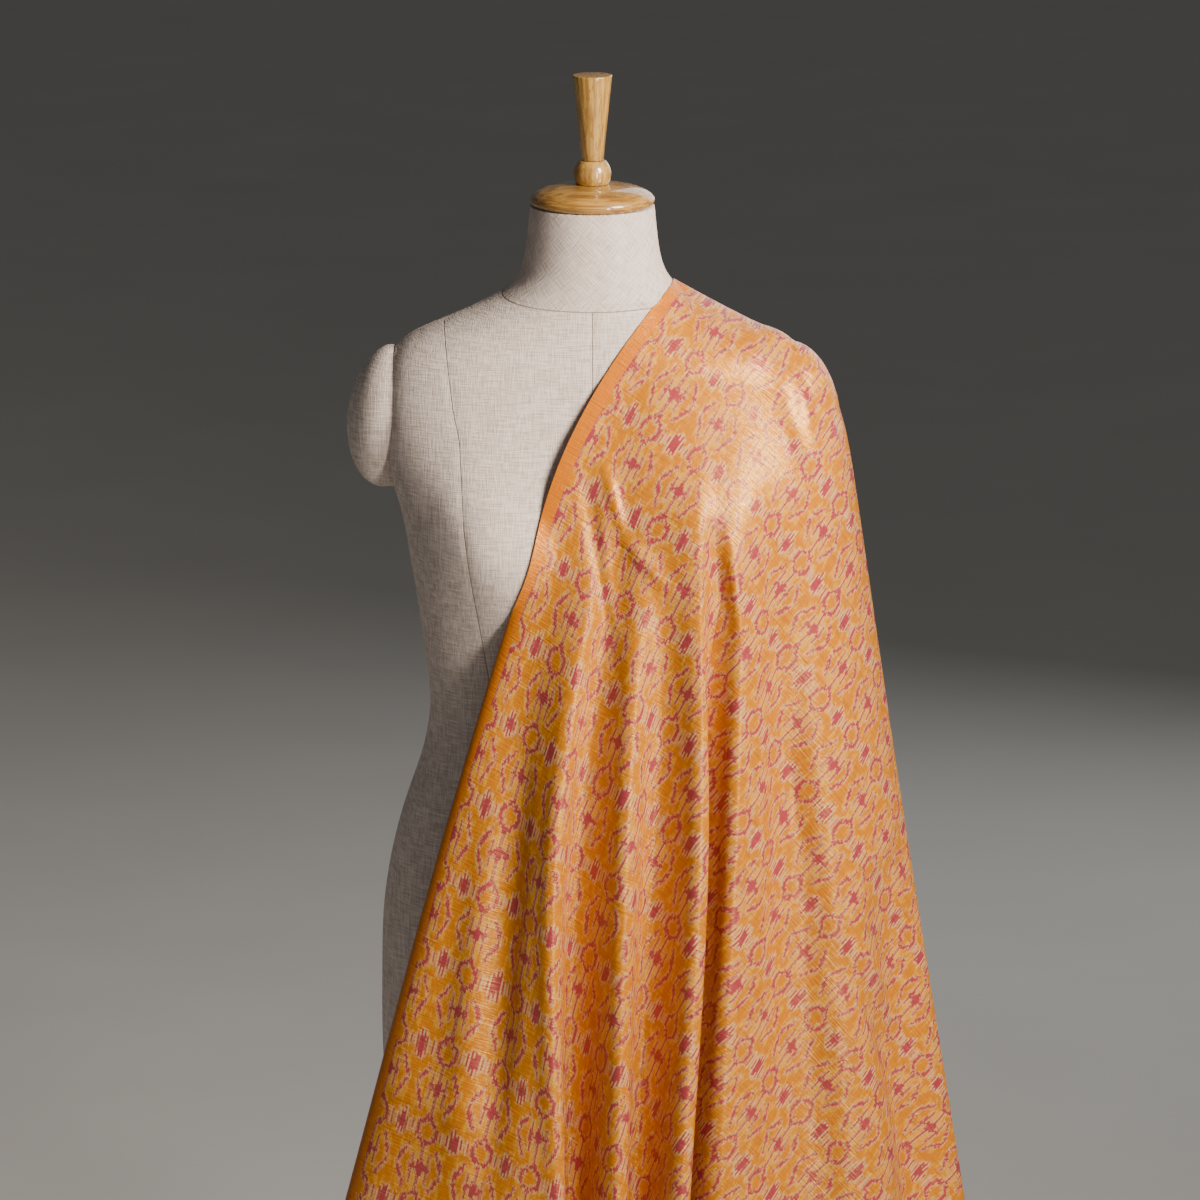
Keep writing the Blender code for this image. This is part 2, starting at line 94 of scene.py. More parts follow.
def give(node, inputs):
    """Sets a node's inputs, each to a value, to an output, or to a node for its first live output.

    A Mix node takes its colours as inputs 6 and 7, or its vectors as 4 and 5. A Map Range node reads
    the range from input 1 to input 2, and gives that from 3 to 4, or else 0 to 1.
    """
    for name, value in inputs.items():
        if isinstance(value, bpy.types.Node):
            value = next(output for output in value.outputs if output.enabled)
        if isinstance(value, bpy.types.NodeSocket):
            node.id_data.links.new(value, node.inputs[name])
        else:
            node.inputs[name].default_value = value


def add(tree, kind, inputs=None, **settings):
    """Adds a node with its settings and inputs."""
    node = tree.nodes.new("ShaderNode" + kind)
    for name, value in settings.items():
        setattr(node, name, value)
    give(node, inputs or {})
    return node


def new_material(name, sockets):
    """A material, its node tree and its shader, whose own sockets hold what is the same all over."""
    made = bpy.data.materials.new(name)
    made.use_nodes = True
    shader = made.node_tree.nodes["Principled BSDF"]
    give(shader, sockets)
    return made, made.node_tree, shader


# ---------------- the ikat silk

REPEAT_ACROSS = 48.0  # mm from one chain of diamonds to the next
REPEAT_ALONG = 77.0  # mm from one diamond to the next down a chain
FIRST_CHAIN = 62.0  # mm from the selvedge
STAR_ALONG = 42.5  # mm from the shoulder to a star
DIAMOND_SAG = 2.5  # mm that a diamond sits nearer to the star below it
BUNDLE = 1.45  # mm, the threads bound and dyed as one
FEATHER = 3.0  # mm that a bundle slips along the cloth, either way
FINE_FEATHER = 3.2  # mm that the threads in a bundle stray from each other, either way and together
DRIFT = (3.0, 9.0, 0.0)  # mm, across and along, that the whole pattern wanders
ALONG_SQUEEZE = 0.62  # dye creeps further along the threads than across them
SELVEDGE_BAND = FIRST_CHAIN - REPEAT_ACROSS - 1.0  # mm of plain orange at each long edge
PLAIN = 30.0  # mm: a bundle put this far from the motif takes none of its dye

GOLD = colour("#D6952A")
DEEP_ORANGE = colour("#C3740B")
SELVEDGE_ORANGE = colour("#CE720A")
PALE_RIM = colour("#D3A87A")
CRIMSON = colour("#A03A44")

# How often noise changes in a mm across and a mm along the cloth
DRIFT_NOISE = 0.02
SLIP_NOISE = (7.31, 0.12, 1.0)  # the first in a bundle, not in a mm
FINE_NOISE = (2.6, 0.35, 1.0)
CLOUD_NOISE = (0.30, 0.09, 1.0)
WARP_NOISE = (2.0, 0.07, 1.0)
WEFT_NOISE = (0.07, 1.6, 1.0)
SLUB_NOISE = (0.020, 0.62, 1.0)
RIPPLE_NOISE = (0.10, 0.42, 1.0)

# The motif, mirrored across and along: mm across and along from a star knot's middle
Streak = namedtuple("Streak", "across along across_end along_end half_width", defaults=(0.0,))
SOLID = (  # dyed right through
    Streak(0.0, 0.0, 0.0, 1.5, 3.7),  # the star's knot
    Streak(0.0, 0.0, 8.2, 0.6, 1.3),  # its arms
    Streak(7.0, 2.0, 7.0, 13.0, 0.9),  # and their hooks
    Streak(0.0, 5.0, 0.0, 25.0, 1.0),  # the stem
    Streak(0.8, 25.0, 8.2, 33.5, 1.5),  # the diamond's outline
    Streak(8.2, 33.5, 8.2, 38.5, 1.7),
    Streak(24.0, 36.0, 24.0, 38.5, 3.4),  # the starburst
    Streak(11.6, 19.5, 14.8, 11.5, 1.2),  # the leaves round the star
    Streak(14.8, 11.5, 18.2, 4.2, 1.5),
)
COMBED = (  # only every other bundle is dyed
    Streak(24.0, 34.5, 24.0, 38.5, 5.0),
    Streak(18.2, 35.0, 18.2, 38.5, 1.1),
    Streak(13.2, 34.5, 13.2, 38.5, 1.2),
    Streak(18.9, 3.0, 18.9, 0.0, 0.9),
)
PRESSED = (  # fine lines pressed in while it lay folded: mm on the flat cloth
    Streak(13.6, 265.2, 107.1, 269.5),
    Streak(104.0, 270.2, 173.4, 272.7),
    Streak(245.8, 139.5, 328.2, 133.8),
    Streak(282.2, 303.4, 340.2, 372.4),
    Streak(340.2, 372.4, 399.2, 441.5),
    Streak(399.2, 441.5, 488.6, 546.4),
    Streak(488.6, 546.4, 574.7, 644.0),
    Streak(188.3, 220.2, 250.7, 334.4),
    Streak(215.0, 182.0, 339.8, 282.4),
    Streak(166.9, 21.5, 250.9, 66.2),
    Streak(250.9, 66.2, 304.0, 106.4),
)
PRESSED_REACH = 2.2  # mm from the line to where the cloth lies level
PRESSED_DEPTH = 2.4
PATCH_WANDER = 20.0  # mm that a patch's edge wanders, either way and together
PATCHES = (  # where the ground is a deeper orange
    Streak(24.0, 10.0, 24.0, 22.0, 4.6),
    Streak(9.5, 22.0, 16.5, 27.5, 2.6),
    Streak(0.0, 35.0, 0.0, 38.5, 4.4),
    Streak(12.6, 0.0, 12.6, 5.0, 2.8),
    Streak(15.0, 36.0, 14.0, 38.5, 2.0),
)


def nearest_streak(tree, place, streaks, squeeze=ALONG_SQUEEZE):
    """The distance in mm from a place to the edge of the nearest of these streaks.

    squeeze: what the place's own distance along the cloth is multiplied by.
    """
    nearest = None
    for streak in streaks:
        start = Vector((streak.across, streak.along * squeeze, 0))
        run = Vector((streak.across_end, streak.along_end * squeeze, 0)) - start
        offset = add(tree, "VectorMath", {0: place, 1: start}, operation="SUBTRACT")
        share = add(tree, "VectorMath", {0: offset, 1: run / run.length_squared}, operation="DOT_PRODUCT")
        share = add(tree, "Math", {0: share, 1: 1.0}, operation="MULTIPLY", use_clamp=True)
        foot = add(tree, "VectorMath", {0: run, "Scale": share}, operation="SCALE")
        away = add(tree, "VectorMath", {0: offset, 1: foot}, operation="DISTANCE")
        edge = add(tree, "Math", {0: away, 1: streak.half_width}, operation="SUBTRACT")
        nearest = add(tree, "Math", {0: nearest, 1: edge}, operation="MINIMUM") if nearest else edge
    return nearest


def motif_place(tree, in_mm):
    """Where a point lies in the mirrored repeat, once its bundle of threads has slipped along the cloth.

    Also its distance from the inner selvedge, 0 or 1 for every other bundle, and the bundle's slip.
    """
    drift = add(tree, "TexNoise", {
        "Vector": in_mm, "Scale": DRIFT_NOISE, "Detail": 1.0,
    }, noise_dimensions="2D")
    drift = add(tree, "VectorMath", {0: drift.outputs["Color"], 1: (0.5, 0.5, 0.5)}, operation="SUBTRACT")
    drift = add(tree, "VectorMath", {0: drift, 1: DRIFT, 2: in_mm}, operation="MULTIPLY_ADD")
    axes = add(tree, "SeparateXYZ", {0: drift})
    across = add(tree, "Math", {0: axes.outputs["X"], 1: FIRST_CHAIN}, operation="SUBTRACT")
    along = add(tree, "Math", {0: axes.outputs["Y"], 1: STAR_ALONG}, operation="SUBTRACT")
    bundle = add(tree, "Math", {0: across, 1: BUNDLE}, operation="DIVIDE")
    bundle = add(tree, "Math", {0: bundle}, operation="FLOOR")
    middle = add(tree, "Math", {0: bundle, 1: BUNDLE, 2: BUNDLE / 2}, operation="MULTIPLY_ADD")
    every_other = add(tree, "Math", {0: bundle, 1: 1.0}, operation="PINGPONG")
    slip = add(tree, "CombineXYZ", {"X": bundle, "Y": along})
    slip = add(tree, "VectorMath", {0: slip, 1: SLIP_NOISE}, operation="MULTIPLY")
    slip = add(tree, "TexNoise", {"Vector": slip, "Scale": 1.0, "Detail": 1.0}, noise_dimensions="2D")
    slip = add(tree, "MapRange", {0: slip, 1: 0.3, 2: 0.7, 3: -FEATHER, 4: FEATHER})
    slipped = add(tree, "Math", {0: slip, 1: along}, operation="ADD")
    folded_across = add(tree, "Math", {0: middle, 1: REPEAT_ACROSS / 2}, operation="PINGPONG")
    sag = add(tree, "Math", {0: slipped, 1: pi / REPEAT_ALONG}, operation="MULTIPLY")
    sag = add(tree, "Math", {0: sag}, operation="SINE")
    sag = add(tree, "Math", {0: sag, 1: sag}, operation="MULTIPLY")
    sagged = add(tree, "Math", {0: sag, 1: -DIAMOND_SAG, 2: slipped}, operation="MULTIPLY_ADD")
    folded_along = add(tree, "Math", {0: sagged, 1: REPEAT_ALONG / 2}, operation="PINGPONG")
    squeezed = add(tree, "Math", {0: folded_along, 1: ALONG_SQUEEZE}, operation="MULTIPLY")
    place = add(tree, "CombineXYZ", {"X": folded_across, "Y": squeezed})
    return place, axes.outputs["X"], every_other, slip


def ikat_dyes(tree, in_mm):
    """Crimson with pale rims, on a ground of gold and deeper orange."""
    place, from_selvedge, every_other, slip = motif_place(tree, in_mm)
    to_solid = nearest_streak(tree, place, SOLID)
    to_combed = nearest_streak(tree, place, COMBED)
    to_motif = add(tree, "Math", {0: to_combed, 1: to_solid}, operation="MINIMUM")
    left_out = add(tree, "Math", {0: every_other, 1: PLAIN, 2: to_combed}, operation="MULTIPLY_ADD")
    to_dyed = add(tree, "Math", {0: left_out, 1: to_solid}, operation="MINIMUM")
    to_patch = nearest_streak(tree, place, PATCHES)

    # A plain band at each long edge, which cuts the first chain's motifs in half
    half_width = CLOTH_WIDTH / MM / 2
    centred = add(tree, "Math", {0: from_selvedge, 1: half_width}, operation="SUBTRACT")
    centred = add(tree, "Math", {0: centred}, operation="ABSOLUTE")
    in_band = add(tree, "Math", {0: centred, 1: half_width - SELVEDGE_BAND}, operation="GREATER_THAN")
    to_dye, to_rim = (
        add(tree, "Math", {0: in_band, 1: PLAIN, 2: distance}, operation="MULTIPLY_ADD")
        for distance in (to_dyed, to_motif)
    )

    # Fine feathering of every edge, and a rim that is wider where the bundle slipped further
    fine = add(tree, "VectorMath", {0: in_mm, 1: FINE_NOISE}, operation="MULTIPLY")
    fine = add(tree, "TexNoise", {"Vector": fine, "Scale": 1.0, "Detail": 1.0}, noise_dimensions="2D")
    fine = add(tree, "Math", {0: fine, 1: 0.5}, operation="SUBTRACT")
    to_dye, to_rim = (
        add(tree, "Math", {0: fine, 1: FINE_FEATHER, 2: distance}, operation="MULTIPLY_ADD")
        for distance in (to_dye, to_rim)
    )
    dyed = add(tree, "MapRange", {0: to_dye, 1: -0.5, 2: 0.45, 3: 1.0, 4: 0.0})
    rim_width = add(tree, "MapRange", {0: slip, 1: -FEATHER, 2: FEATHER, 3: 0.5, 4: 1.2})
    to_rim = add(tree, "Math", {0: to_rim, 1: rim_width}, operation="SUBTRACT")
    rim = add(tree, "MapRange", {0: to_rim, 1: -0.6, 2: 0.6, 3: 0.8, 4: 0.0})

    # The ground's deeper patches are clouded at their edges
    cloud = add(tree, "VectorMath", {0: in_mm, 1: CLOUD_NOISE}, operation="MULTIPLY")
    cloud = add(tree, "TexNoise", {"Vector": cloud, "Scale": 1.0, "Detail": 3.0}, noise_dimensions="2D")
    cloud = add(tree, "Math", {0: cloud, 1: 0.5}, operation="SUBTRACT")
    to_patch = add(tree, "Math", {0: cloud, 1: PATCH_WANDER, 2: to_patch}, operation="MULTIPLY_ADD")
    patch = add(tree, "MapRange", {0: to_patch, 1: -1.0, 2: 4.0, 3: 1.0, 4: 0.0})
    dyes = add(tree, "Mix", {"Factor": patch, 6: GOLD, 7: DEEP_ORANGE}, data_type="RGBA")
    dyes = add(tree, "Mix", {"Factor": in_band, 6: dyes, 7: SELVEDGE_ORANGE}, data_type="RGBA")
    dyes = add(tree, "Mix", {"Factor": rim, 6: dyes, 7: PALE_RIM}, data_type="RGBA")
    return add(tree, "Mix", {"Factor": dyed, 6: dyes, 7: CRIMSON}, data_type="RGBA")


def silk_threads(tree, in_mm):
    """What the threads do to the dyes' tone, and how the weft and the slubs stand up.

    The threads are drawn about 0.5 mm apart, twice as far as the real ones, so that they show.
    """
    threads = []
    for noise in (WARP_NOISE, WEFT_NOISE):
        thread = add(tree, "VectorMath", {0: in_mm, 1: noise}, operation="MULTIPLY")
        threads.append(add(tree, "TexNoise", {"Vector": thread, "Scale": 1.0}, noise_dimensions="2D"))
    weave = add(tree, "Math", {0: threads[0], 1: threads[1]}, operation="ADD")
    slubs = add(tree, "VectorMath", {0: in_mm, 1: SLUB_NOISE}, operation="MULTIPLY")
    slubs = add(tree, "TexNoise", {"Vector": slubs, "Scale": 1.0, "Detail": 1.0}, noise_dimensions="2D")
    thick = add(tree, "MapRange", {0: slubs, 1: 0.62, 2: 0.74})
    thin = add(tree, "MapRange", {0: slubs, 1: 0.28, 2: 0.37, 3: -1.0, 4: 0.0})
    slub = add(tree, "Math", {0: thick, 1: thin}, operation="ADD")
    tone = add(tree, "MapRange", {0: weave, 1: 0.6, 2: 1.4, 3: 0.82, 4: 1.14})
    tone = add(tree, "Math", {0: slub, 1: 0.16, 2: tone}, operation="MULTIPLY_ADD")
    return tone, threads[1], slub


def ikat_silk():
    """Tussar silk in a plain hand weave, its warp bound and dyed before weaving.

    The eye sees feathered edges along the warp, a pale rim where the dyes stop short of each other,
    slubs across the cloth, and a broad creamy gloss on every fold.
    """
    made, tree, shader = new_material("handwoven_ikat_silk", {
        "Roughness": 0.27, "Specular IOR Level": 1.0, "Specular Tint": colour("#FFC57C"), "IOR": 1.54,
    })
    flat = add(tree, "UVMap", uv_map="flat")
    in_mm = add(tree, "VectorMath", {0: flat, "Scale": 1 / MM}, operation="SCALE")
    dyes = ikat_dyes(tree, in_mm)
    tone, weft, slub = silk_threads(tree, in_mm)
    toned = add(tree, "VectorMath", {0: dyes, "Scale": tone}, operation="SCALE")

    # Ribs of weft and slub, broader ripples, and the lines that it was folded on
    ripple = add(tree, "VectorMath", {0: in_mm, 1: RIPPLE_NOISE}, operation="MULTIPLY")
    ripple = add(tree, "TexNoise", {"Vector": ripple, "Scale": 1.0, "Detail": 3.0}, noise_dimensions="2D")
    height = add(tree, "Math", {0: slub, 1: 0.9, 2: weft}, operation="MULTIPLY_ADD")
    height = add(tree, "Math", {0: ripple, 1: 2.6, 2: height}, operation="MULTIPLY_ADD")
    to_line = nearest_streak(tree, in_mm, PRESSED, squeeze=1.0)
    pressed = add(tree, "MapRange", {
        0: to_line, 1: 0.0, 2: PRESSED_REACH, 3: -PRESSED_DEPTH, 4: 0.0,
    }, interpolation_type="SMOOTHSTEP")
    height = add(tree, "Math", {0: height, 1: pressed}, operation="ADD")
    bump = add(tree, "Bump", {"Height": height, "Strength": 0.35, "Distance": 0.5 * MM})
    give(shader, {"Base Color": toned, "Normal": bump})
    return made


# ---------------- the other finishes

SEAMS = ("middle_seam", "panel_seam", "side_seam", "over_neck_seam")  # how far each is, signed
LINEN_UPRIGHT = (1.25, 0.20, 0.05)  # how often noise changes in a mm each way, in the upright threads
LINEN_LEVEL = (0.06, 0.06, 1.10)  # and in the level ones
NECK_RADIUS = 60.0  # mm, about, so that the bias runs evenly round the neck
ON_BIAS = 0.71  # the cosine of 45 degrees, about
PEBBLE_NOISE = 700.0  # changes in a metre: pebbles of about 1.4 mm
RING_NOISE = (60.0, 60.0, 2500.0)  # changes in a metre each way: rings about 0.4 mm apart


def slubbed_linen():
    """Unbleached linen in a coarse plain weave: warm grey, with thick and thin threads both ways.

    It is cut on the straight on the body and on the bias on the neck. Its threads are drawn about
    0.9 mm apart, nearly twice as far as the real ones, so that they show.
    """
    made, tree, shader = new_material("natural_slub_linen", {"Roughness": 0.92, "Specular IOR Level": 0.25})
    where = add(tree, "TexCoord")
    in_mm = add(tree, "VectorMath", {0: where.outputs["Object"], "Scale": 1 / MM}, operation="SCALE")
    neck = add(tree, "Attribute", attribute_name="over_neck_seam")
    on_neck = add(tree, "Math", {0: neck.outputs["Fac"], 1: 0.0}, operation="GREATER_THAN")
    axes = add(tree, "SeparateXYZ", {0: in_mm})
    turn = add(tree, "Math", {0: axes.outputs["X"], 1: axes.outputs["Y"]}, operation="ARCTAN2")
    round_neck = add(tree, "Math", {0: turn, 1: -NECK_RADIUS}, operation="MULTIPLY")
    slant_up = add(tree, "Math", {0: round_neck, 1: axes.outputs["Z"]}, operation="ADD")
    slant_down = add(tree, "Math", {0: round_neck, 1: axes.outputs["Z"]}, operation="SUBTRACT")
    bias = add(tree, "CombineXYZ", {"X": slant_up, "Z": slant_down})
    bias = add(tree, "VectorMath", {0: bias, "Scale": ON_BIAS}, operation="SCALE")
    grain = add(tree, "Mix", {"Factor": on_neck, 4: in_mm, 5: bias}, data_type="VECTOR")
    threads = []
    for noise in (LINEN_UPRIGHT, LINEN_LEVEL):
        thread = add(tree, "VectorMath", {0: grain, 1: noise}, operation="MULTIPLY")
        threads.append(add(tree, "TexNoise", {"Vector": thread, "Scale": 1.0, "Detail": 2.5}))
    weave = add(tree, "Math", {0: threads[0], 1: threads[1]}, operation="ADD")
    fleck = add(tree, "TexNoise", {"Vector": in_mm, "Scale": 0.28, "Detail": 3.0})
    fleck = add(tree, "MapRange", {0: fleck, 1: 0.66, 2: 0.74, 3: 0.0, 4: 0.5})
    shade = add(tree, "MapRange", {0: weave, 1: 0.78, 2: 1.22})
    cloth = add(tree, "Mix", {"Factor": shade, 6: colour("#BBA99E"), 7: colour("#E9DBD2")}, data_type="RGBA")
    cloth = add(tree, "Mix", {"Factor": fleck, 6: cloth, 7: colour("#8F7F70")}, data_type="RGBA")
    nearest = None
    for name in SEAMS:
        seam = add(tree, "Attribute", attribute_name=name)
        away = add(tree, "Math", {0: seam.outputs["Fac"], 1: 1 / MM}, operation="MULTIPLY")
        away = add(tree, "Math", {0: away}, operation="ABSOLUTE")
        nearest = add(tree, "Math", {0: nearest, 1: away}, operation="MINIMUM") if nearest else away
    # Each seam dips into a groove, which the bump below draws, and the colour there is darkened: painted
    # shade in the groove
    dip = add(tree, "MapRange", {0: nearest, 1: 0.1, 2: 0.7, 3: 0.8, 4: 0.0})
    linen_with_painted_seam_shade = add(tree, "Mix", {"Factor": dip, 6: cloth, 7: colour("#857466")}, data_type="RGBA")
    height = add(tree, "Math", {0: dip, 1: -1.2, 2: weave}, operation="MULTIPLY_ADD")
    bump = add(tree, "Bump", {"Height": height, "Strength": 0.9, "Distance": 0.5 * MM})
    give(shader, {"Base Color": linen_with_painted_seam_shade, "Normal": bump})
    return made


def grained_wood(name, along, light, dark, varnish):
    """Rubberwood, turned or sawn: bands of lighter and darker wood, with fine dark pores along the grain.

    along: how closely the grain is packed on each axis, least along the grain itself.
    varnish: how much of a clear coat lies over it.
    """
    made, tree, shader = new_material(name, {
        "Roughness": 0.42, "Coat Weight": varnish, "Coat Roughness": 0.07,
    })
    where = add(tree, "TexCoord")
    in_mm = add(tree, "VectorMath", {0: where.outputs["Object"], "Scale": 1 / MM}, operation="SCALE")
    grain = add(tree, "VectorMath", {0: in_mm, 1: along}, operation="MULTIPLY")
    bands = add(tree, "TexNoise", {"Vector": grain, "Scale": 0.30, "Detail": 4.0, "Distortion": 0.4})
    pores = add(tree, "TexNoise", {"Vector": grain, "Scale": 1.5, "Detail": 3.0})
    pore = add(tree, "MapRange", {0: pores, 1: 0.55, 2: 0.66, 3: 0.0, 4: 0.6})
    band = add(tree, "MapRange", {0: bands, 1: 0.40, 2: 0.60})
    wood = add(tree, "Mix", {"Factor": band, 6: colour(dark), 7: colour(light)}, data_type="RGBA")
    wood = add(tree, "Mix", {"Factor": pore, 6: wood, 7: colour("#6E4A1E")}, data_type="RGBA")
    bump = add(tree, "Bump", {"Height": pores, "Strength": 0.08, "Distance": 0.2 * MM})
    give(shader, {"Base Color": wood, "Normal": bump})
    return made


def painted_iron():
    """Cast iron under black powder coat: a low pebbled gloss."""
    made, tree, shader = new_material("powder_coated_iron", {"Base Color": colour("#2A2A2C")})
    where = add(tree, "TexCoord")
    pebble = add(tree, "TexNoise", {"Vector": where.outputs["Object"], "Scale": PEBBLE_NOISE})
    rough = add(tree, "MapRange", {0: pebble, 1: 0.3, 2: 0.7, 3: 0.42, 4: 0.58})
    bump = add(tree, "Bump", {"Height": pebble, "Strength": 0.25, "Distance": 0.3 * MM})
    give(shader, {"Roughness": rough, "Normal": bump})
    return made


def brushed_steel():
    """Drawn steel tube, brushed round: fine rings of brighter and duller metal."""
    made, tree, shader = new_material("brushed_steel_tube", {
        "Base Color": colour("#C3C3C4"), "Metallic": 1.0,
    })
    where = add(tree, "TexCoord")
    rings = add(tree, "VectorMath", {0: where.outputs["Object"], 1: RING_NOISE}, operation="MULTIPLY")
    rings = add(tree, "TexNoise", {"Vector": rings, "Scale": 1.0})
    rough = add(tree, "MapRange", {0: rings, 1: 0.3, 2: 0.7, 3: 0.24, 4: 0.38})
    bump = add(tree, "Bump", {"Height": rings, "Strength": 0.1, "Distance": 0.1 * MM})
    give(shader, {"Roughness": rough, "Normal": bump})
    return made


# ---------------- modelling by hand

SQUARE_ON = 0.99  # how much of a normal lies on an axis, for a face square on to it
SHARP_FROM = radians(35)  # an edge turned by more than this stays sharp


def copy_of(node, name, finish):
    """A new piece with a CAD node's shape, its corners merged and its triangles paired into quads."""
    piece = new_object(name, NODES[node].data.copy())
    piece.data.materials.clear()
    piece.data.materials.append(finish)
    edit(piece)
    bpy.ops.mesh.select_all(action="SELECT")
    bpy.ops.mesh.remove_doubles(threshold=0.01 * MM)
    bpy.ops.mesh.tris_convert_to_quads(face_threshold=radians(50), shape_threshold=radians(60))
    leave_edit()
    return piece


def pick(piece):
    bpy.ops.object.select_all(action="DESELECT")
    bpy.context.view_layer.objects.active = piece
    piece.select_set(True)


def edit(piece):
    pick(piece)
    bpy.ops.object.mode_set(mode="EDIT")


def leave_edit():
    bpy.ops.mesh.select_all(action="DESELECT")
    bpy.ops.object.mode_set(mode="OBJECT")


def crease_ends(piece, axis, signs=(-1, 1)):
    """Makes each flat end one face and creases its rim, so that subdivision leaves it flat."""
    edit(piece)
    for sign in signs:
        mesh = bmesh.from_edit_mesh(piece.data)
        level = max(sign * vert.co[axis] for vert in mesh.verts)
        bpy.ops.mesh.select_mode(type="FACE")
        for face in mesh.faces:
            centre = face.calc_center_median()
            square_on = face.normal[axis] * sign > SQUARE_ON
            face.select_set(square_on and level - sign * centre[axis] < MM)
        bmesh.update_edit_mesh(piece.data)
        bpy.ops.mesh.dissolve_faces()
        bpy.ops.mesh.region_to_loop()
        bpy.ops.transform.edge_crease(value=1.0)
        bpy.ops.mesh.select_all(action="DESELECT")
    leave_edit()


def apply(piece, kind, **settings):
    """Adds a modifier with its settings and applies it."""
    pick(piece)
    modifier = piece.modifiers.new(kind.lower(), kind)
    for name, value in settings.items():
        setattr(modifier, name, value)
    bpy.ops.object.modifier_apply(modifier=modifier.name)


def stands_for(piece, slot, *nodes):
    """Puts a finished piece in the place of CAD nodes, smooth but for its edges."""
    pick(piece)
    bpy.ops.object.shade_smooth_by_angle(angle=SHARP_FROM)
    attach(piece, "root")
    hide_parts(*nodes)


# ---------------- the padded form

SMOOTHING = 3
STUB_BACK = 0.181  # how far an arm stub's flat back is from the middle
STUB_SUNK = 4 * MM  # a stub's back, into the body's rounded armhole
SEAM_DIP = 0.7 * MM
SEAM_WIDTH = 2.2 * MM
NECK_SEAM_MIDDLE = 1.478  # the height of the neck's seam at y = 0
NECK_SEAM_TILT = 0.14  # it rises towards the back
SIDE_SEAM = 0.012  # behind the middle, over the shoulders too
SEAMS_END = 20  # over the neck's seam the others are put this many times as far off as it is below
SEAMLESS = -1.0  # far from a seam

# The seams down the front and the back panels: (height, out from the middle)
FRONT_SEAM = (
    (0.71, 0.098), (0.92, 0.103), (1.10, 0.086), (1.25, 0.109), (1.285, 0.1135),
    (1.357, 0.1175), (1.384, 0.1235), (1.442, 0.131), (1.465, 0.1345),
)
BACK_SEAM = ((0.71, 0.100), (0.92, 0.095), (1.10, 0.070), (1.30, 0.090), (1.47, 0.110))


def seam_offsets(points):
    """How far each point is from each of the SEAMS, signed. Over the neck's seam only that one is near."""
    x, y, z = points.T
    panel = np.abs(x) - np.where(y < 0, np.interp(z, *zip(*FRONT_SEAM)), np.interp(z, *zip(*BACK_SEAM)))
    neck = z - NECK_SEAM_MIDDLE - NECK_SEAM_TILT * y
    clear = np.maximum(neck, 0) * SEAMS_END
    return x + clear, panel + clear, y - SIDE_SEAM + clear, neck


def make_torso(linen):
    """The body and neck under their linen, pinched a little along every seam."""
    torso = copy_of("torso", "linen_torso", linen)
    crease_ends(torso, axis=2)
    apply(torso, "SUBSURF", levels=SMOOTHING, render_levels=SMOOTHING)
    mesh = torso.data
    points = np.array([vert.co for vert in mesh.vertices])
    normals = np.array([vert.normal for vert in mesh.vertices])
    offsets = seam_offsets(points)
    dip = sum(np.exp(-(away / SEAM_WIDTH) ** 2) for away in offsets)
    points -= normals * (SEAM_DIP * np.minimum(dip, 1))[:, None]
    mesh.vertices.foreach_set("co", points.ravel())
    mark_seams(torso, offsets)
    stands_for(torso, "linen", "torso")
    return torso


def mark_seams(piece, offsets):
    for name, values in zip(SEAMS, offsets):
        attribute = piece.data.attributes.new(name, "FLOAT", "POINT")
        attribute.data.foreach_set("value", values.astype(np.float32))


def make_stub(side, linen):
    """An arm stub, its flat back sunk a little into the armhole."""
    stub = copy_of(f"arm_stub_{side}", f"linen_arm_stub_{side}", linen)
    inward = -1 if side == "left" else 1
    crease_ends(stub, axis=0, signs=(inward,))
    apply(stub, "SUBSURF", levels=2, render_levels=2)
    for vert in stub.data.vertices:
        if abs(abs(vert.co.x) - STUB_BACK) < MM:
            vert.co.x += inward * STUB_SUNK
    mark_seams(stub, np.full((len(SEAMS), len(stub.data.vertices)), SEAMLESS))
    stands_for(stub, "linen", f"arm_stub_{side}")
    return stub


# ---------------- turned wood and metal

CAP_LIP = 5.2 * MM  # the radius of the cap's rounded edge
CAP_DOME = (  # over it: (radius, height over the cap's foot)
    (0.0525, 0.0102), (0.0480, 0.0131), (0.0410, 0.0157), (0.0300, 0.0179), (0.0170, 0.0190),
)
BALL_CUTS = (-32, 47)  # degrees up the ball's side to its two flats
HANDLE_FOOT = 0.010  # its radius

PLATE_EDGE = 4 * MM
PLATE_TOP = 12 * MM
HUB_FOOT = 32 * MM
HUB_TOP = 26 * MM
HUB_FILLET = 6 * MM
HUB_EDGE = 3 * MM


def turned(name, profile, finish, steps=96):
    """Spins a profile, (radius, height) from the bottom up, once round the pole's line."""
    mesh = bpy.data.meshes.new(name)
    outline = [(0.0, profile[0][1]), *profile, (0.0, profile[-1][1])]
    mesh.from_pydata([(radius, 0.0, height) for radius, height in outline],
                     [(i, i + 1) for i in range(len(outline) - 1)], [])
    piece = new_object(name, mesh)
    piece.data.materials.append(finish)
    edit(piece)
    bpy.ops.mesh.select_all(action="SELECT")
    bpy.ops.mesh.spin(steps=steps, angle=2 * pi, center=(0, 0, 0), axis=(0, 0, 1))
    bpy.ops.mesh.select_all(action="SELECT")
    bpy.ops.mesh.remove_doubles(threshold=0.02 * MM)
    bpy.ops.mesh.normals_make_consistent(inside=False)
    leave_edit()
    return piece


def arc(middle, radius, start, end, steps=8):
    """Points of a profile along an arc, from one turn in degrees to another."""
    turns = np.radians(np.linspace(start, end, steps + 1))
    return [(middle[0] + radius * cos(turn), middle[1] + radius * sin(turn)) for turn in turns]


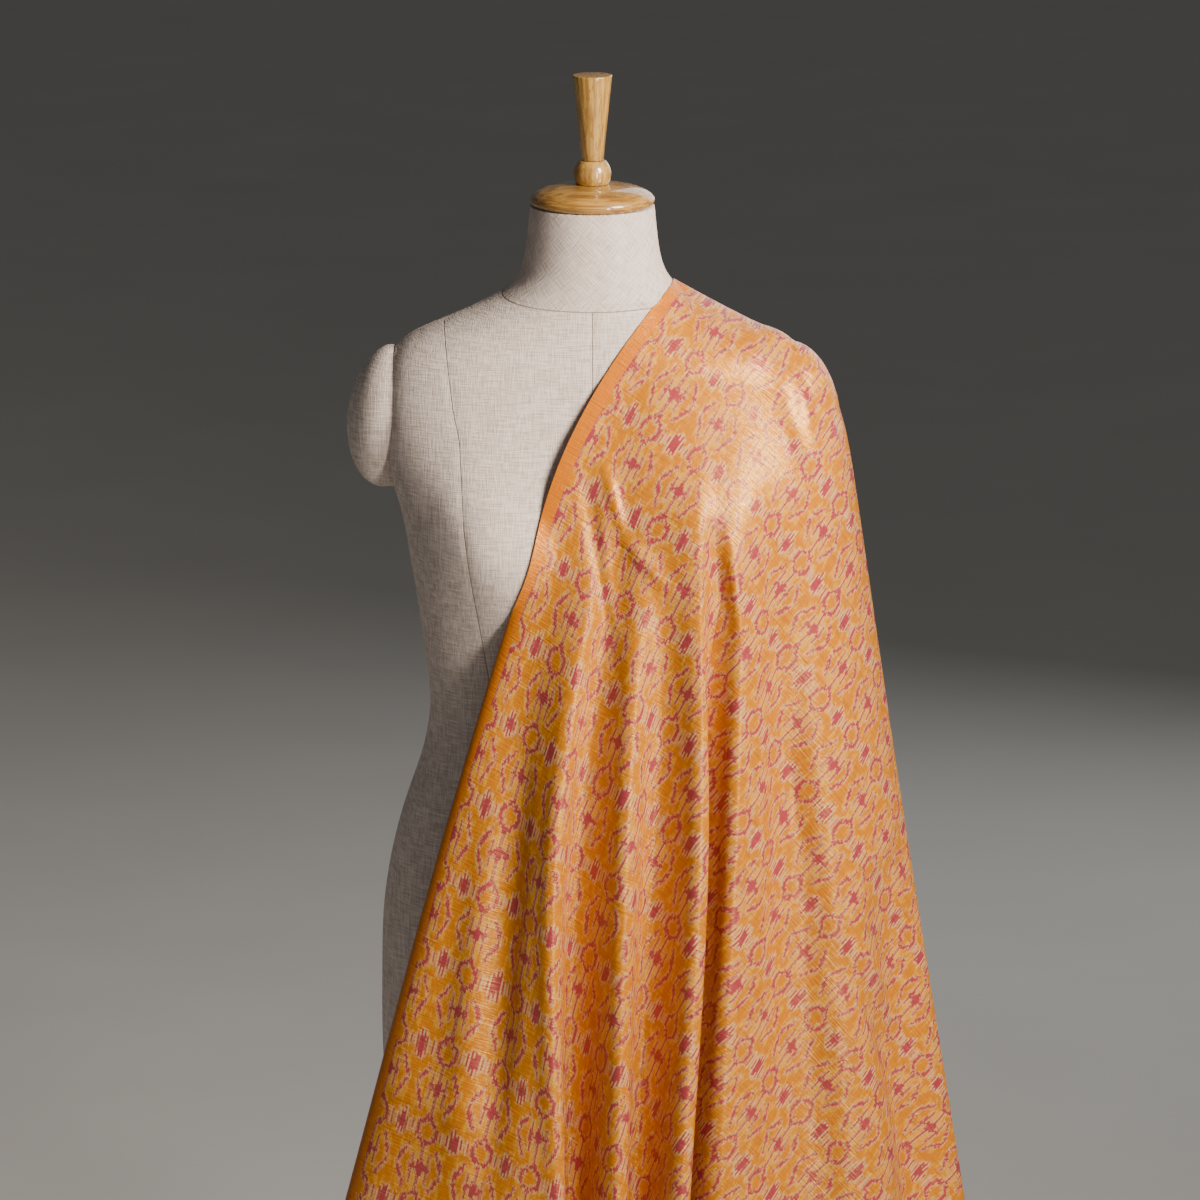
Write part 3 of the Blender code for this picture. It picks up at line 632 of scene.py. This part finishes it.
def make_finial(wood, flat_sawn):
    """The turned cap, ball and tapered handle on the neck."""
    low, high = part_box("neck_cap")
    profile = [
        (high.x - CAP_LIP + CAP_LIP * cos(turn), low.z + CAP_LIP + CAP_LIP * sin(turn))
        for turn in np.radians((-90, -70, -45, -20, 0, 20))
    ]
    profile += [(radius, low.z + height) for radius, height in CAP_DOME]
    cap = turned("neck_cap_wood", profile, flat_sawn)

    low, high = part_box("finial_ball")
    cut_low, cut_high = BALL_CUTS
    middle = low.z - high.x * sin(radians(cut_low))
    ball = turned("finial_ball_wood", arc((0, middle), high.x, cut_low, cut_high, 24), wood)

    low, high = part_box("finial_cone")
    edge = 0.9 * MM
    profile = [(HANDLE_FOOT, low.z), (high.x - 0.2 * MM, high.z - 3 * edge)]
    profile += arc((high.x - edge, high.z - edge), edge, 0, 90, 6)
    handle = turned("finial_handle_wood", profile, wood)
    for piece, node in ((cap, "neck_cap"), (ball, "finial_ball"), (handle, "finial_cone")):
        apply(piece, "BEVEL", width=0.3 * MM, segments=2, limit_method="ANGLE", angle_limit=radians(40))
        stands_for(piece, "varnished_wood", node)


def make_stand(board_wood, iron, steel):
    """The board under the form, and its collar, pole and round foot."""
    board = copy_of("base_board", "base_board_wood", board_wood)
    crease_ends(board, axis=2)
    apply(board, "SUBSURF", levels=2, render_levels=2)
    apply(board, "BEVEL", width=1.5 * MM, segments=3, limit_method="ANGLE", angle_limit=radians(60))
    stands_for(board, "board_wood", "base_board")

    low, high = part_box("pole_collar")
    edge = 1.5 * MM
    profile = arc((high.x - edge, low.z + edge), edge, -90, 0, 4)
    profile += arc((high.x - edge, high.z - edge), edge, 0, 90, 4)
    stands_for(turned("pole_collar_iron", profile, iron), "painted_iron", "pole_collar")

    low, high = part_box("pole")
    stands_for(turned("pole_steel", [(high.x, low.z), (high.x, high.z)], steel, 64), "steel_tube", "pole")

    low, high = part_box("floor_foot")
    profile = [(high.x - 1 * MM, 0.0), (high.x, 1 * MM)]
    profile += arc((high.x - PLATE_EDGE, PLATE_TOP - PLATE_EDGE), PLATE_EDGE, 0, 90, 6)
    profile += arc((HUB_FOOT + HUB_FILLET, PLATE_TOP + HUB_FILLET), HUB_FILLET, 270, 180, 6)
    profile += arc((HUB_TOP - HUB_EDGE, high.z - HUB_EDGE), HUB_EDGE, 10, 90, 5)
    stands_for(turned("floor_foot_iron", profile, iron), "painted_iron", "floor_foot")


# ---------------- the draped cloth

# Flat, x is across the width from the inner selvedge, and y along the length, with the front
# end at +y. It turns over the shoulder at the neck, at flat (0, 0).
CLOTH_WIDTH = 1.10
CLOTH_FRONT = 0.955
CLOTH_BACK = 0.925
CLOTH_THICKNESS = 0.0006
CLEARANCE = 0.0024  # from the form to the sheet's middle
RESTING_CLEARANCE = 0.0012  # the same at the neck
RESTING_REACH = (0.06, 0.14)  # from the neck to where it starts to grow, and to where it is grown
NECK_POINT = (0.070, 0.004, 1.4845)
MIDDLE_LEVEL = 1.020
LOW_LEVEL = 0.640

# A row for each line down which the cloth falls, from the neck over the form to the hem.
# lie_top, lie_low: degrees from the length of the cloth to the line, above and below the chest
# x, y, z: where the line leaves the form; then its place at the middle and the low level
# columns: of the mesh, from this line to the next
# folded: how much of the cloth's spare width after the line goes into its hollow. The weave takes up the rest
# lean: how far the hollow after the line tucks back under it, as a share of the hollow's depth
# bow: how far the line strays towards the middle of the form on its way over it
FALL_VALUES = "lie_top lie_low x y z mid_x mid_y low_x low_y columns folded lean bow"
FallLine = namedtuple("FallLine", FALL_VALUES, defaults=(0.7, 0.0, 0.0))
FALL = (
    FallLine(0, 0, -0.034, -0.125, 1.337, -0.128, -0.122, -0.228, -0.098, 44, 0.25, 0, 0.009),
    FallLine(12, 12, 0.014, -0.130, 1.330, -0.033, -0.158, -0.033, -0.165, 46, 0.6, 0.35, 0.006),
    FallLine(22, 21.5, 0.047, -0.135, 1.335, 0.030, -0.160, 0.020, -0.168, 46, 0.6, 0.35, 0.003),
    FallLine(33, 31, 0.092, -0.148, 1.315, 0.098, -0.160, 0.080, -0.170, 44, 0.75, 0.6),
    FallLine(45, 40, 0.134, -0.140, 1.310, 0.135, -0.152, 0.118, -0.160, 30),
    FallLine(66, 47, 0.190, -0.095, 1.330, 0.222, -0.105, 0.262, -0.108, 28),
    FallLine(88, 53, 0.226, 0.000, 1.362, 0.278, 0.000, 0.340, 0.000, 18),
    FallLine(98, 72, 0.221, 0.036, 1.368, 0.272, 0.078, 0.334, 0.105, 14),
    FallLine(108, 90, 0.205, 0.066, 1.366, 0.232, 0.135, 0.292, 0.190, 14),
    FallLine(120, 108, 0.160, 0.085, 1.365, 0.168, 0.168, 0.205, 0.222, 16),
    FallLine(134, 127, 0.115, 0.105, 1.345, 0.095, 0.178, 0.112, 0.228, 16),
    FallLine(150, 147, 0.070, 0.112, 1.330, 0.022, 0.174, 0.018, 0.216, 16),
    FallLine(165, 163, 0.035, 0.114, 1.325, -0.045, 0.163, -0.070, 0.196, 14),
    FallLine(180, 180, 0.000, 0.112, 1.320, -0.105, 0.148, -0.160, 0.172, 0),
)
LIE_TURNS = (0.15, 0.30)  # along a fall line: where lie_top starts to turn into lie_low, and ends
LEVEL_STEP = 0.010  # along a fall line, while the sheet's shape is worked out
LONGEST = 1.56  # to past the hem on every line
ROWS = 138
PROFILE_STEPS = 96  # across one fold, while its shape is worked out
STRAIGHT_STEPS = 8  # the same on the straight way across, whose length is wanted
STEEPEST_WAVE = 2.2  # radians: the steepest that a fold's side gets
WAVE_ANGLES = 90  # how many steepest angles are tried
WAVE_TURNS = 64  # places along one wave where its angle is taken
CORNER_TRIALS = 200  # places between two fall lines where the sheet's corner is looked for
END_RUN = 5  # steps at a path's end that say where it heads
TAUT_STEPS = 40
TAUT_PASSES = 120
HANGING_STEPS = 80
SOFTENING = 20  # passes that round a fall line's bends
DEEPEST = 0.15  # no point of the sheet starts deeper in the form than this
FOLDS_START = 0.15  # along a fall line: above it the cloth lies smooth, and below
FOLDS_FULL = 0.52  # this its folds are as full as its spare width makes them

# The front selvedge turned back
CURL_GROWS = (0.16, 0.60)  # flat metres from the shoulder to where it starts, and to where it is full
CURL_WIDTH = 0.032
CURL_DEPTH = 0.010
CURL_DRAW = 0.007  # how far the cloth by it is drawn sideways, towards the edge
DRAW_WIDTH = 3 * CURL_WIDTH
DRAW_SKEW = 0.6  # under 1, so that it is drawn most near the edge

# Creases pulled into the cloth, in flat metres: a ridge has a height above 0, a trough below it
CREASE_END = 0.02  # of its length: nearer to its ends than this a crease gets no fainter
Crease = namedtuple("Crease", "x1 y1 x2 y2 half_width height")
CREASES = (
    # Across the chest from the selvedge, where the cloth turns down over the form
    Crease(0.028, 0.203, 0.092, 0.266, 0.006, 0.0038),
    Crease(0.078, 0.258, 0.158, 0.284, 0.006, 0.0034),
    Crease(0.02, 0.222, 0.094, 0.33, 0.0085, -0.0042),
    Crease(0.052, 0.262, 0.124, 0.35, 0.006, 0.0016),
    Crease(0.15, 0.203, 0.214, 0.26, 0.008, -0.004),
    Crease(0.166, 0.196, 0.25, 0.272, 0.0065, 0.0034),
    # Off the shoulder towards the arm
    Crease(0.132, 0.043, 0.222, 0.088, 0.008, -0.0036),
    Crease(0.128, 0.027, 0.188, 0.058, 0.0065, 0.003),
    Crease(0.16, 0.018, 0.26, 0.072, 0.0055, 0.0016),
    Crease(0.24, 0.06, 0.31, 0.11, 0.006, 0.0015),
    # Over the shoulder's tip
    Crease(0.085, 0.012, 0.135, 0.016, 0.02, 0.005),
    # Down the front, between the folds
    Crease(0.19, 0.208, 0.58, 0.68, 0.0085, 0.0055),
    Crease(0.24, 0.245, 0.61, 0.685, 0.008, -0.004),
    Crease(0.215, 0.182, 0.345, 0.287, 0.008, -0.0022),
    Crease(0.33, 0.276, 0.44, 0.368, 0.008, -0.002),
    # The tops of the folds, drawn narrower as they fall
    Crease(0.07, 0.33, 0.205, 0.96, 0.011, 0.006),
    Crease(0.119, 0.3, 0.362, 0.91, 0.011, 0.006),
    Crease(0.18, 0.29, 0.5, 0.83, 0.01, 0.005),
    # A soft fold near the front selvedge
    Crease(0.036, 0.47, 0.098, 0.93, 0.017, 0.008),
    Crease(0.06, 0.47, 0.13, 0.93, 0.015, -0.007),
    # Where the side hangs free of the form
    Crease(0.5, 0.4, 0.7, 0.435, 0.018, -0.006),
    Crease(0.52, 0.372, 0.64, 0.398, 0.012, 0.004),
    Crease(0.668, 0.428, 0.8, 0.485, 0.02, -0.0065),
    Crease(0.64, 0.47, 0.76, 0.52, 0.015, 0.004),
)


def slopes(knots, values):
    """The slope of a smooth curve at each of its knots, from the knots on either side."""
    steps = np.diff(knots)[:, None]
    chords = np.diff(values, axis=0) / steps
    inner = (chords[:-1] * steps[1:] + chords[1:] * steps[:-1]) / (steps[1:] + steps[:-1])
    return np.vstack([chords[:1], inner, chords[-1:]])


def smooth_curve(knots, values, at):
    """A smooth curve through values at knots, read at each number in at. Past its ends it runs straight."""
    slope = slopes(knots, values)
    inside = np.clip(at, knots[0], knots[-1])
    i = np.clip(np.searchsorted(knots, inside, side="right") - 1, 0, len(knots) - 2)
    width = (knots[i + 1] - knots[i])[:, None]
    s = ((inside - knots[i])[:, None]) / width
    read = (
        values[i] * (1 + 2 * s) * (1 - s) ** 2
        + slope[i] * width * s * (1 - s) ** 2
        + values[i + 1] * s**2 * (3 - 2 * s)
        + slope[i + 1] * width * s**2 * (s - 1)
    )
    past = (at - inside)[:, None]
    return read + past * np.where(past < 0, slope[:1], slope[-1:])


def smooth_step(low, high, value):
    share = np.clip((value - low) / (high - low), 0, 1)
    return share * share * (3 - 2 * share)


def surface_tree(pieces):
    """What finds the nearest point of the form, whose bottom edge is carried straight down to the floor."""
    points, faces = [], []
    for piece in pieces:
        lowest = min(vert.co.z for vert in piece.data.vertices)
        first = len(points)
        for vert in piece.data.vertices:
            on_rim = piece is pieces[0] and vert.co.z < lowest + MM
            points.append(Vector((vert.co.x, vert.co.y, 0.0)) if on_rim else vert.co.copy())
        faces += [[first + i for i in face.vertices] for face in piece.data.polygons]
    return BVHTree.FromPolygons(points, faces)


def clear_of(tree, points):
    """The points, with each that lies in the form or too near to it moved out."""
    moved = np.array(points, float)
    away = np.linalg.norm(moved - np.array(NECK_POINT), axis=-1)
    gaps = RESTING_CLEARANCE + (CLEARANCE - RESTING_CLEARANCE) * smooth_step(*RESTING_REACH, away)
    for index, gap in enumerate(gaps):
        point = Vector(moved[index])
        nearest, normal, _, distance = tree.find_nearest(point)
        if (point - nearest).dot(normal) < gap and distance < DEEPEST:
            moved[index] = nearest + normal * gap
    return moved


def taut_path(tree, start, end):
    """A path pulled tight over the form between two points."""
    points = np.linspace(start, end, TAUT_STEPS + 1)
    for _ in range(TAUT_PASSES):
        points[1:-1] = (points[:-2] + points[2:]) / 2
        points[1:-1] = clear_of(tree, points[1:-1])
    return points


def even_path(points, step, longest):
    """The points of a path at even lengths along it, run straight past its end."""
    lengths = np.concatenate([[0], np.cumsum(np.linalg.norm(np.diff(points, axis=0), axis=1))])
    wanted = np.arange(0, longest + step / 2, step)
    even = np.stack([np.interp(wanted, lengths, axis) for axis in points.T], axis=1)
    past = np.maximum(wanted - lengths[-1], 0)[:, None]
    heading = points[-1] - points[-1 - END_RUN]
    return even + past * heading / np.linalg.norm(heading)


def fall_path(line, tree):
    """Where the cloth's points on a fall line are, every LEVEL_STEP from the neck down."""
    stops = np.array([
        NECK_POINT,
        (line.x, line.y, line.z),
        (line.mid_x, line.mid_y, MIDDLE_LEVEL),
        (line.low_x, line.low_y, LOW_LEVEL),
    ])
    over_form = taut_path(tree, stops[0], stops[1])
    over_form[:, 0] -= line.bow * np.sin(np.linspace(0, pi, len(over_form)))
    knots = np.concatenate([[0], np.cumsum(np.linalg.norm(np.diff(stops[1:], axis=0), axis=1))])
    hanging = smooth_curve(knots, stops[1:], np.linspace(0, knots[-1], HANGING_STEPS))
    path = clear_of(tree, np.vstack([over_form, hanging[1:]]))
    even = even_path(path, LEVEL_STEP, LONGEST)
    for _ in range(SOFTENING):
        even[1:-1] = (even[:-2] + 2 * even[1:-1] + even[2:]) / 4
    return even


def flat_path(before, after, share):
    """Where the points down a line at this share between two fall lines are on the flat cloth."""
    top = before.lie_top + (after.lie_top - before.lie_top) * share
    low = before.lie_low + (after.lie_low - before.lie_low) * share
    levels = np.arange(0, LONGEST + LEVEL_STEP / 2, LEVEL_STEP)
    lie = np.radians(top + (low - top) * smooth_step(*LIE_TURNS, levels))
    steps = np.stack([np.sin(lie), np.cos(lie)], axis=1) * LEVEL_STEP
    return np.vstack([[0, 0], np.cumsum(steps, axis=0)[:-1]])


def waviness(shares):
    """The steepest angle of a meandering line whose ends are these shares of its own length apart."""
    angles = np.linspace(0, STEEPEST_WAVE, WAVE_ANGLES)
    turns = np.linspace(0, 2 * pi, WAVE_TURNS, endpoint=False)
    reaches = np.cos(angles[:, None] * np.sin(turns)).mean(axis=1)
    return np.interp(-shares, -reaches, angles)


def fold_profiles(paths, flats):
    """Across each level, the cloth between each two fall lines, bent into a meander that uses up its width.

    They are profiles[fold, level, step], a point each, evenly spaced along the cloth.
    """
    levels = paths.shape[1]
    fullness = smooth_step(FOLDS_START, FOLDS_FULL, np.arange(levels) * LEVEL_STEP)
    widths = np.linalg.norm(np.diff(flats, axis=0), axis=2)
    across = np.linspace(0, 1, PROFILE_STEPS + 1)
    middles = (across[:-1] + across[1:]) / 2
    profiles = np.zeros((len(widths), levels, PROFILE_STEPS + 1, 3))
    profiles[:, 0] = paths[0, 0]
    for level in range(1, levels):
        stops = paths[:, level]
        knots = np.concatenate([[0], np.cumsum(np.linalg.norm(np.diff(stops, axis=0), axis=1))])
        for fold, width in enumerate(widths[:, level]):
            start, end = knots[fold:fold + 2]
            straight = smooth_curve(knots, stops, np.linspace(start, end, STRAIGHT_STEPS + 1))
            chord = np.linalg.norm(np.diff(straight, axis=0), axis=1).sum()
            width = chord + max(width - chord, 0) * FALL[fold].folded
            steepest = waviness(chord / width) * fullness[level]
            angle = steepest * np.sin(2 * pi * middles)
            along = np.concatenate([[0], np.cumsum(np.cos(angle))])
            depth = np.concatenate([[0], np.cumsum(np.sin(angle))]) * width / PROFILE_STEPS
            place = start + (end - start) * along / along[-1]
            hull = smooth_curve(knots, stops, place)
            heading = smooth_curve(knots, stops, place + MM) - hull
            heading[:, 2] = 0
            heading /= np.linalg.norm(heading, axis=1)[:, None] + 1e-9
            inward = np.stack([-heading[:, 1], heading[:, 0], np.zeros(len(heading))], axis=1)
            profiles[fold, level] = hull + depth[:, None] * (inward - FALL[fold].lean * heading)
    return profiles


def hem(flat):
    """How far down a line the flat cloth ends, and there how much nearer its side is than its cut end."""
    end = CLOTH_FRONT if flat[-1, 1] > 0 else CLOTH_BACK
    over = np.abs(flat) / (CLOTH_WIDTH, end)
    levels = np.arange(len(flat)) * LEVEL_STEP
    reach = np.interp(1.0, over.max(axis=1), levels)
    return reach, np.interp(reach, levels, over[:, 0] - over[:, 1])


def column_shares(before, after):
    """Where the columns from one fall line to the next are, with one on the sheet's corner if it is there."""
    shares = np.linspace(0, 1, before.columns, endpoint=False)
    trial = np.linspace(0, 1, CORNER_TRIALS + 1)
    sides = np.sign([hem(flat_path(before, after, share))[1] for share in trial])
    turns = np.flatnonzero(np.diff(sides))
    if len(turns):
        corner = trial[turns[0]]
        shares[np.abs(shares[1:] - corner).argmin() + 1] = corner
    return shares


def sheet_grid(tree):
    """The sheet's middle surface and the flat place of its points, in rows from the neck to the hem."""
    paths = np.array([fall_path(line, tree) for line in FALL])
    flats = np.array([flat_path(line, line, 0) for line in FALL])
    profiles = fold_profiles(paths, flats)
    levels = np.arange(paths.shape[1]) * LEVEL_STEP
    even_rows = np.linspace(0, 1, ROWS + 1)
    row_shares = even_rows * (1 + even_rows) / 2
    columns, flat_columns = [], []
    for before, after, profile in zip(FALL, FALL[1:], profiles):
        shares = column_shares(before, after)
        if after is FALL[-1]:
            shares = np.append(shares, 1.0)
        for share in shares:
            step = min(int(share * PROFILE_STEPS), PROFILE_STEPS - 1)
            past = share * PROFILE_STEPS - step
            down = profile[:, step] * (1 - past) + profile[:, step + 1] * past
            flat = flat_path(before, after, share)
            wanted = row_shares * hem(flat)[0]
            columns.append(np.stack([np.interp(wanted, levels, axis) for axis in down.T], axis=1))
            flat_columns.append(np.stack([np.interp(wanted, levels, axis) for axis in flat.T], axis=1))
    grid = np.array(columns).transpose(1, 0, 2)
    flat_grid = np.array(flat_columns).transpose(1, 0, 2)
    return grid, flat_grid


def grid_normals(grid):
    """The way out of the sheet at each of its points."""
    down = np.gradient(grid, axis=0)
    over = np.gradient(grid, axis=1)
    normals = np.cross(down, over)
    normals[0] = normals[1]
    return normals / (np.linalg.norm(normals, axis=-1)[..., None] + 1e-12)


def curl_back(grid, flat):
    """The front selvedge turned back, more and more towards the hem, and the cloth by it drawn after it."""
    from_edge = flat[..., 0]
    growth = smooth_step(*CURL_GROWS, flat[..., 1])
    curled = grid.copy()
    curled[..., 1] += CURL_DEPTH * growth * np.clip(1 - from_edge / CURL_WIDTH, 0, 1) ** 2
    curled[..., 0] -= CURL_DRAW * growth * np.sin(pi * np.clip(from_edge / DRAW_WIDTH, 0, 1) ** DRAW_SKEW)
    return curled


def relief(flat):
    """How far the creases lift the cloth at each flat place."""
    height = np.zeros(flat.shape[:-1])
    for crease in CREASES:
        start = np.array((crease.x1, crease.y1))
        run = np.array((crease.x2, crease.y2)) - start
        share = np.clip(((flat - start) @ run) / (run @ run), 0, 1)
        away = np.linalg.norm(flat - start - share[..., None] * run, axis=-1)
        fade = np.sin(pi * np.clip(share, CREASE_END, 1 - CREASE_END))
        height += crease.height * np.exp(-(away / crease.half_width) ** 2) * fade
    return height


def make_cloth(form, silk):
    """The silk itself: a thin sheet over the form's shoulder, falling in folds to its cut ends."""
    tree = surface_tree(form)
    grid, flat = sheet_grid(tree)
    grid = curl_back(grid, flat)
    grid = grid + grid_normals(grid) * relief(flat)[..., None]
    grid = clear_of(tree, grid.reshape(-1, 3)).reshape(grid.shape)
    rows, columns = grid.shape[:2]
    points = np.vstack([grid[:1, 0], grid[1:].reshape(-1, 3)])
    places = np.vstack([flat[:1, 0], flat[1:].reshape(-1, 2)])
    first = [(0, 1 + i, 2 + i) for i in range(columns - 1)]
    index = 1 + np.arange((rows - 1) * columns).reshape(rows - 1, columns)
    corners = (index[:-1, :-1], index[1:, :-1], index[1:, 1:], index[:-1, 1:])
    quads = np.stack([corner.ravel() for corner in corners], axis=1)
    mesh = bpy.data.meshes.new("draped_silk")
    mesh.from_pydata(points.tolist(), [], first + quads.tolist())
    mesh.materials.append(silk)
    layer = mesh.uv_layers.new(name="flat")
    loops = np.zeros(len(mesh.loops), int)
    mesh.loops.foreach_get("vertex_index", loops)
    layer.data.foreach_set("uv", places[loops].astype(np.float32).ravel())
    cloth = new_object("draped_silk", mesh)
    apply(cloth, "SOLIDIFY", thickness=CLOTH_THICKNESS, offset=0.0)
    stands_for(cloth, "ikat_silk", "ikat_cloth")
    return cloth


# ---------------- the studio

FLOOR_WIDTH = 80.0


def area_light(name, place, aim, size, power, tint, spread=180):
    data = bpy.data.lights.new(name, "AREA")
    data.shape = "RECTANGLE"
    data.size, data.size_y = size
    data.energy = power
    data.color = colour(tint)[:3]
    data.spread = radians(spread)
    light = new_object(name, data)
    light.location = place
    light.rotation_euler = (Vector(aim) - Vector(place)).to_track_quat("-Z", "Y").to_euler()


def make_studio():
    """A pale floor and surround, and soft lights: above on the right, down the front, left and behind."""
    bpy.ops.object.select_all(action="DESELECT")
    bpy.ops.mesh.primitive_plane_add(size=FLOOR_WIDTH)
    floor = bpy.context.object
    floor.name = "studio_floor"
    made, tree, shader = new_material("pale_matt_floor", {"Roughness": 0.95, "Specular IOR Level": 0.1})
    where = add(tree, "TexCoord")
    mottle = add(tree, "TexNoise", {"Vector": where.outputs["Object"], "Scale": 3.0, "Detail": 4.0})
    tone = add(tree, "Mix", {
        "Factor": mottle, 6: colour("#D2D0CC"), 7: colour("#DCDAD6"),
    }, data_type="RGBA")
    give(shader, {"Base Color": tone})
    floor.data.materials.append(made)
    area_light("key", (1.65, -1.35, 2.60), (-0.05, 0.0, 1.60), (0.8, 1.0), 28.0, "#FFF4E6", spread=75)
    area_light("strip", (1.6, -2.8, 1.5), (0.1, 0.0, 1.0), (0.30, 2.0), 74.0, "#FFF4E6")
    area_light("fill", (-3.0, -3.2, 1.6), (0.0, 0.0, 1.0), (2.4, 2.4), 6.0, "#F2F5FF")
    area_light("back", (1.6, 3.5, 2.3), (0.0, 0.0, 1.0), (2.6, 2.6), 34.0, "#FFFFFF")
    world = bpy.data.worlds.new("pale_surround")
    bpy.context.scene.world = world
    world.use_nodes = True
    give(world.node_tree.nodes["Background"], {"Color": colour("#E9E8E6"), "Strength": 0.10})


def main():
    make_camera()
    linen = slubbed_linen()
    torso = make_torso(linen)
    stubs = {side: make_stub(side, linen) for side in ("left", "right")}
    make_finial(
        grained_wood("varnished_rubberwood_turned_upright", (1.0, 1.0, 0.05), "#BC9448", "#94692C", 1.0),
        grained_wood("varnished_rubberwood_flat_sawn", (0.06, 0.35, 1.6), "#B98C40", "#8E6228", 1.0),
    )
    make_stand(
        grained_wood("sanded_rubberwood_board", (0.06, 1.0, 1.0), "#C6A071", "#AB8454", 0.0),
        painted_iron(),
        brushed_steel(),
    )
    make_cloth([torso, stubs["left"], stubs["right"]], ikat_silk())
    make_studio()


main()
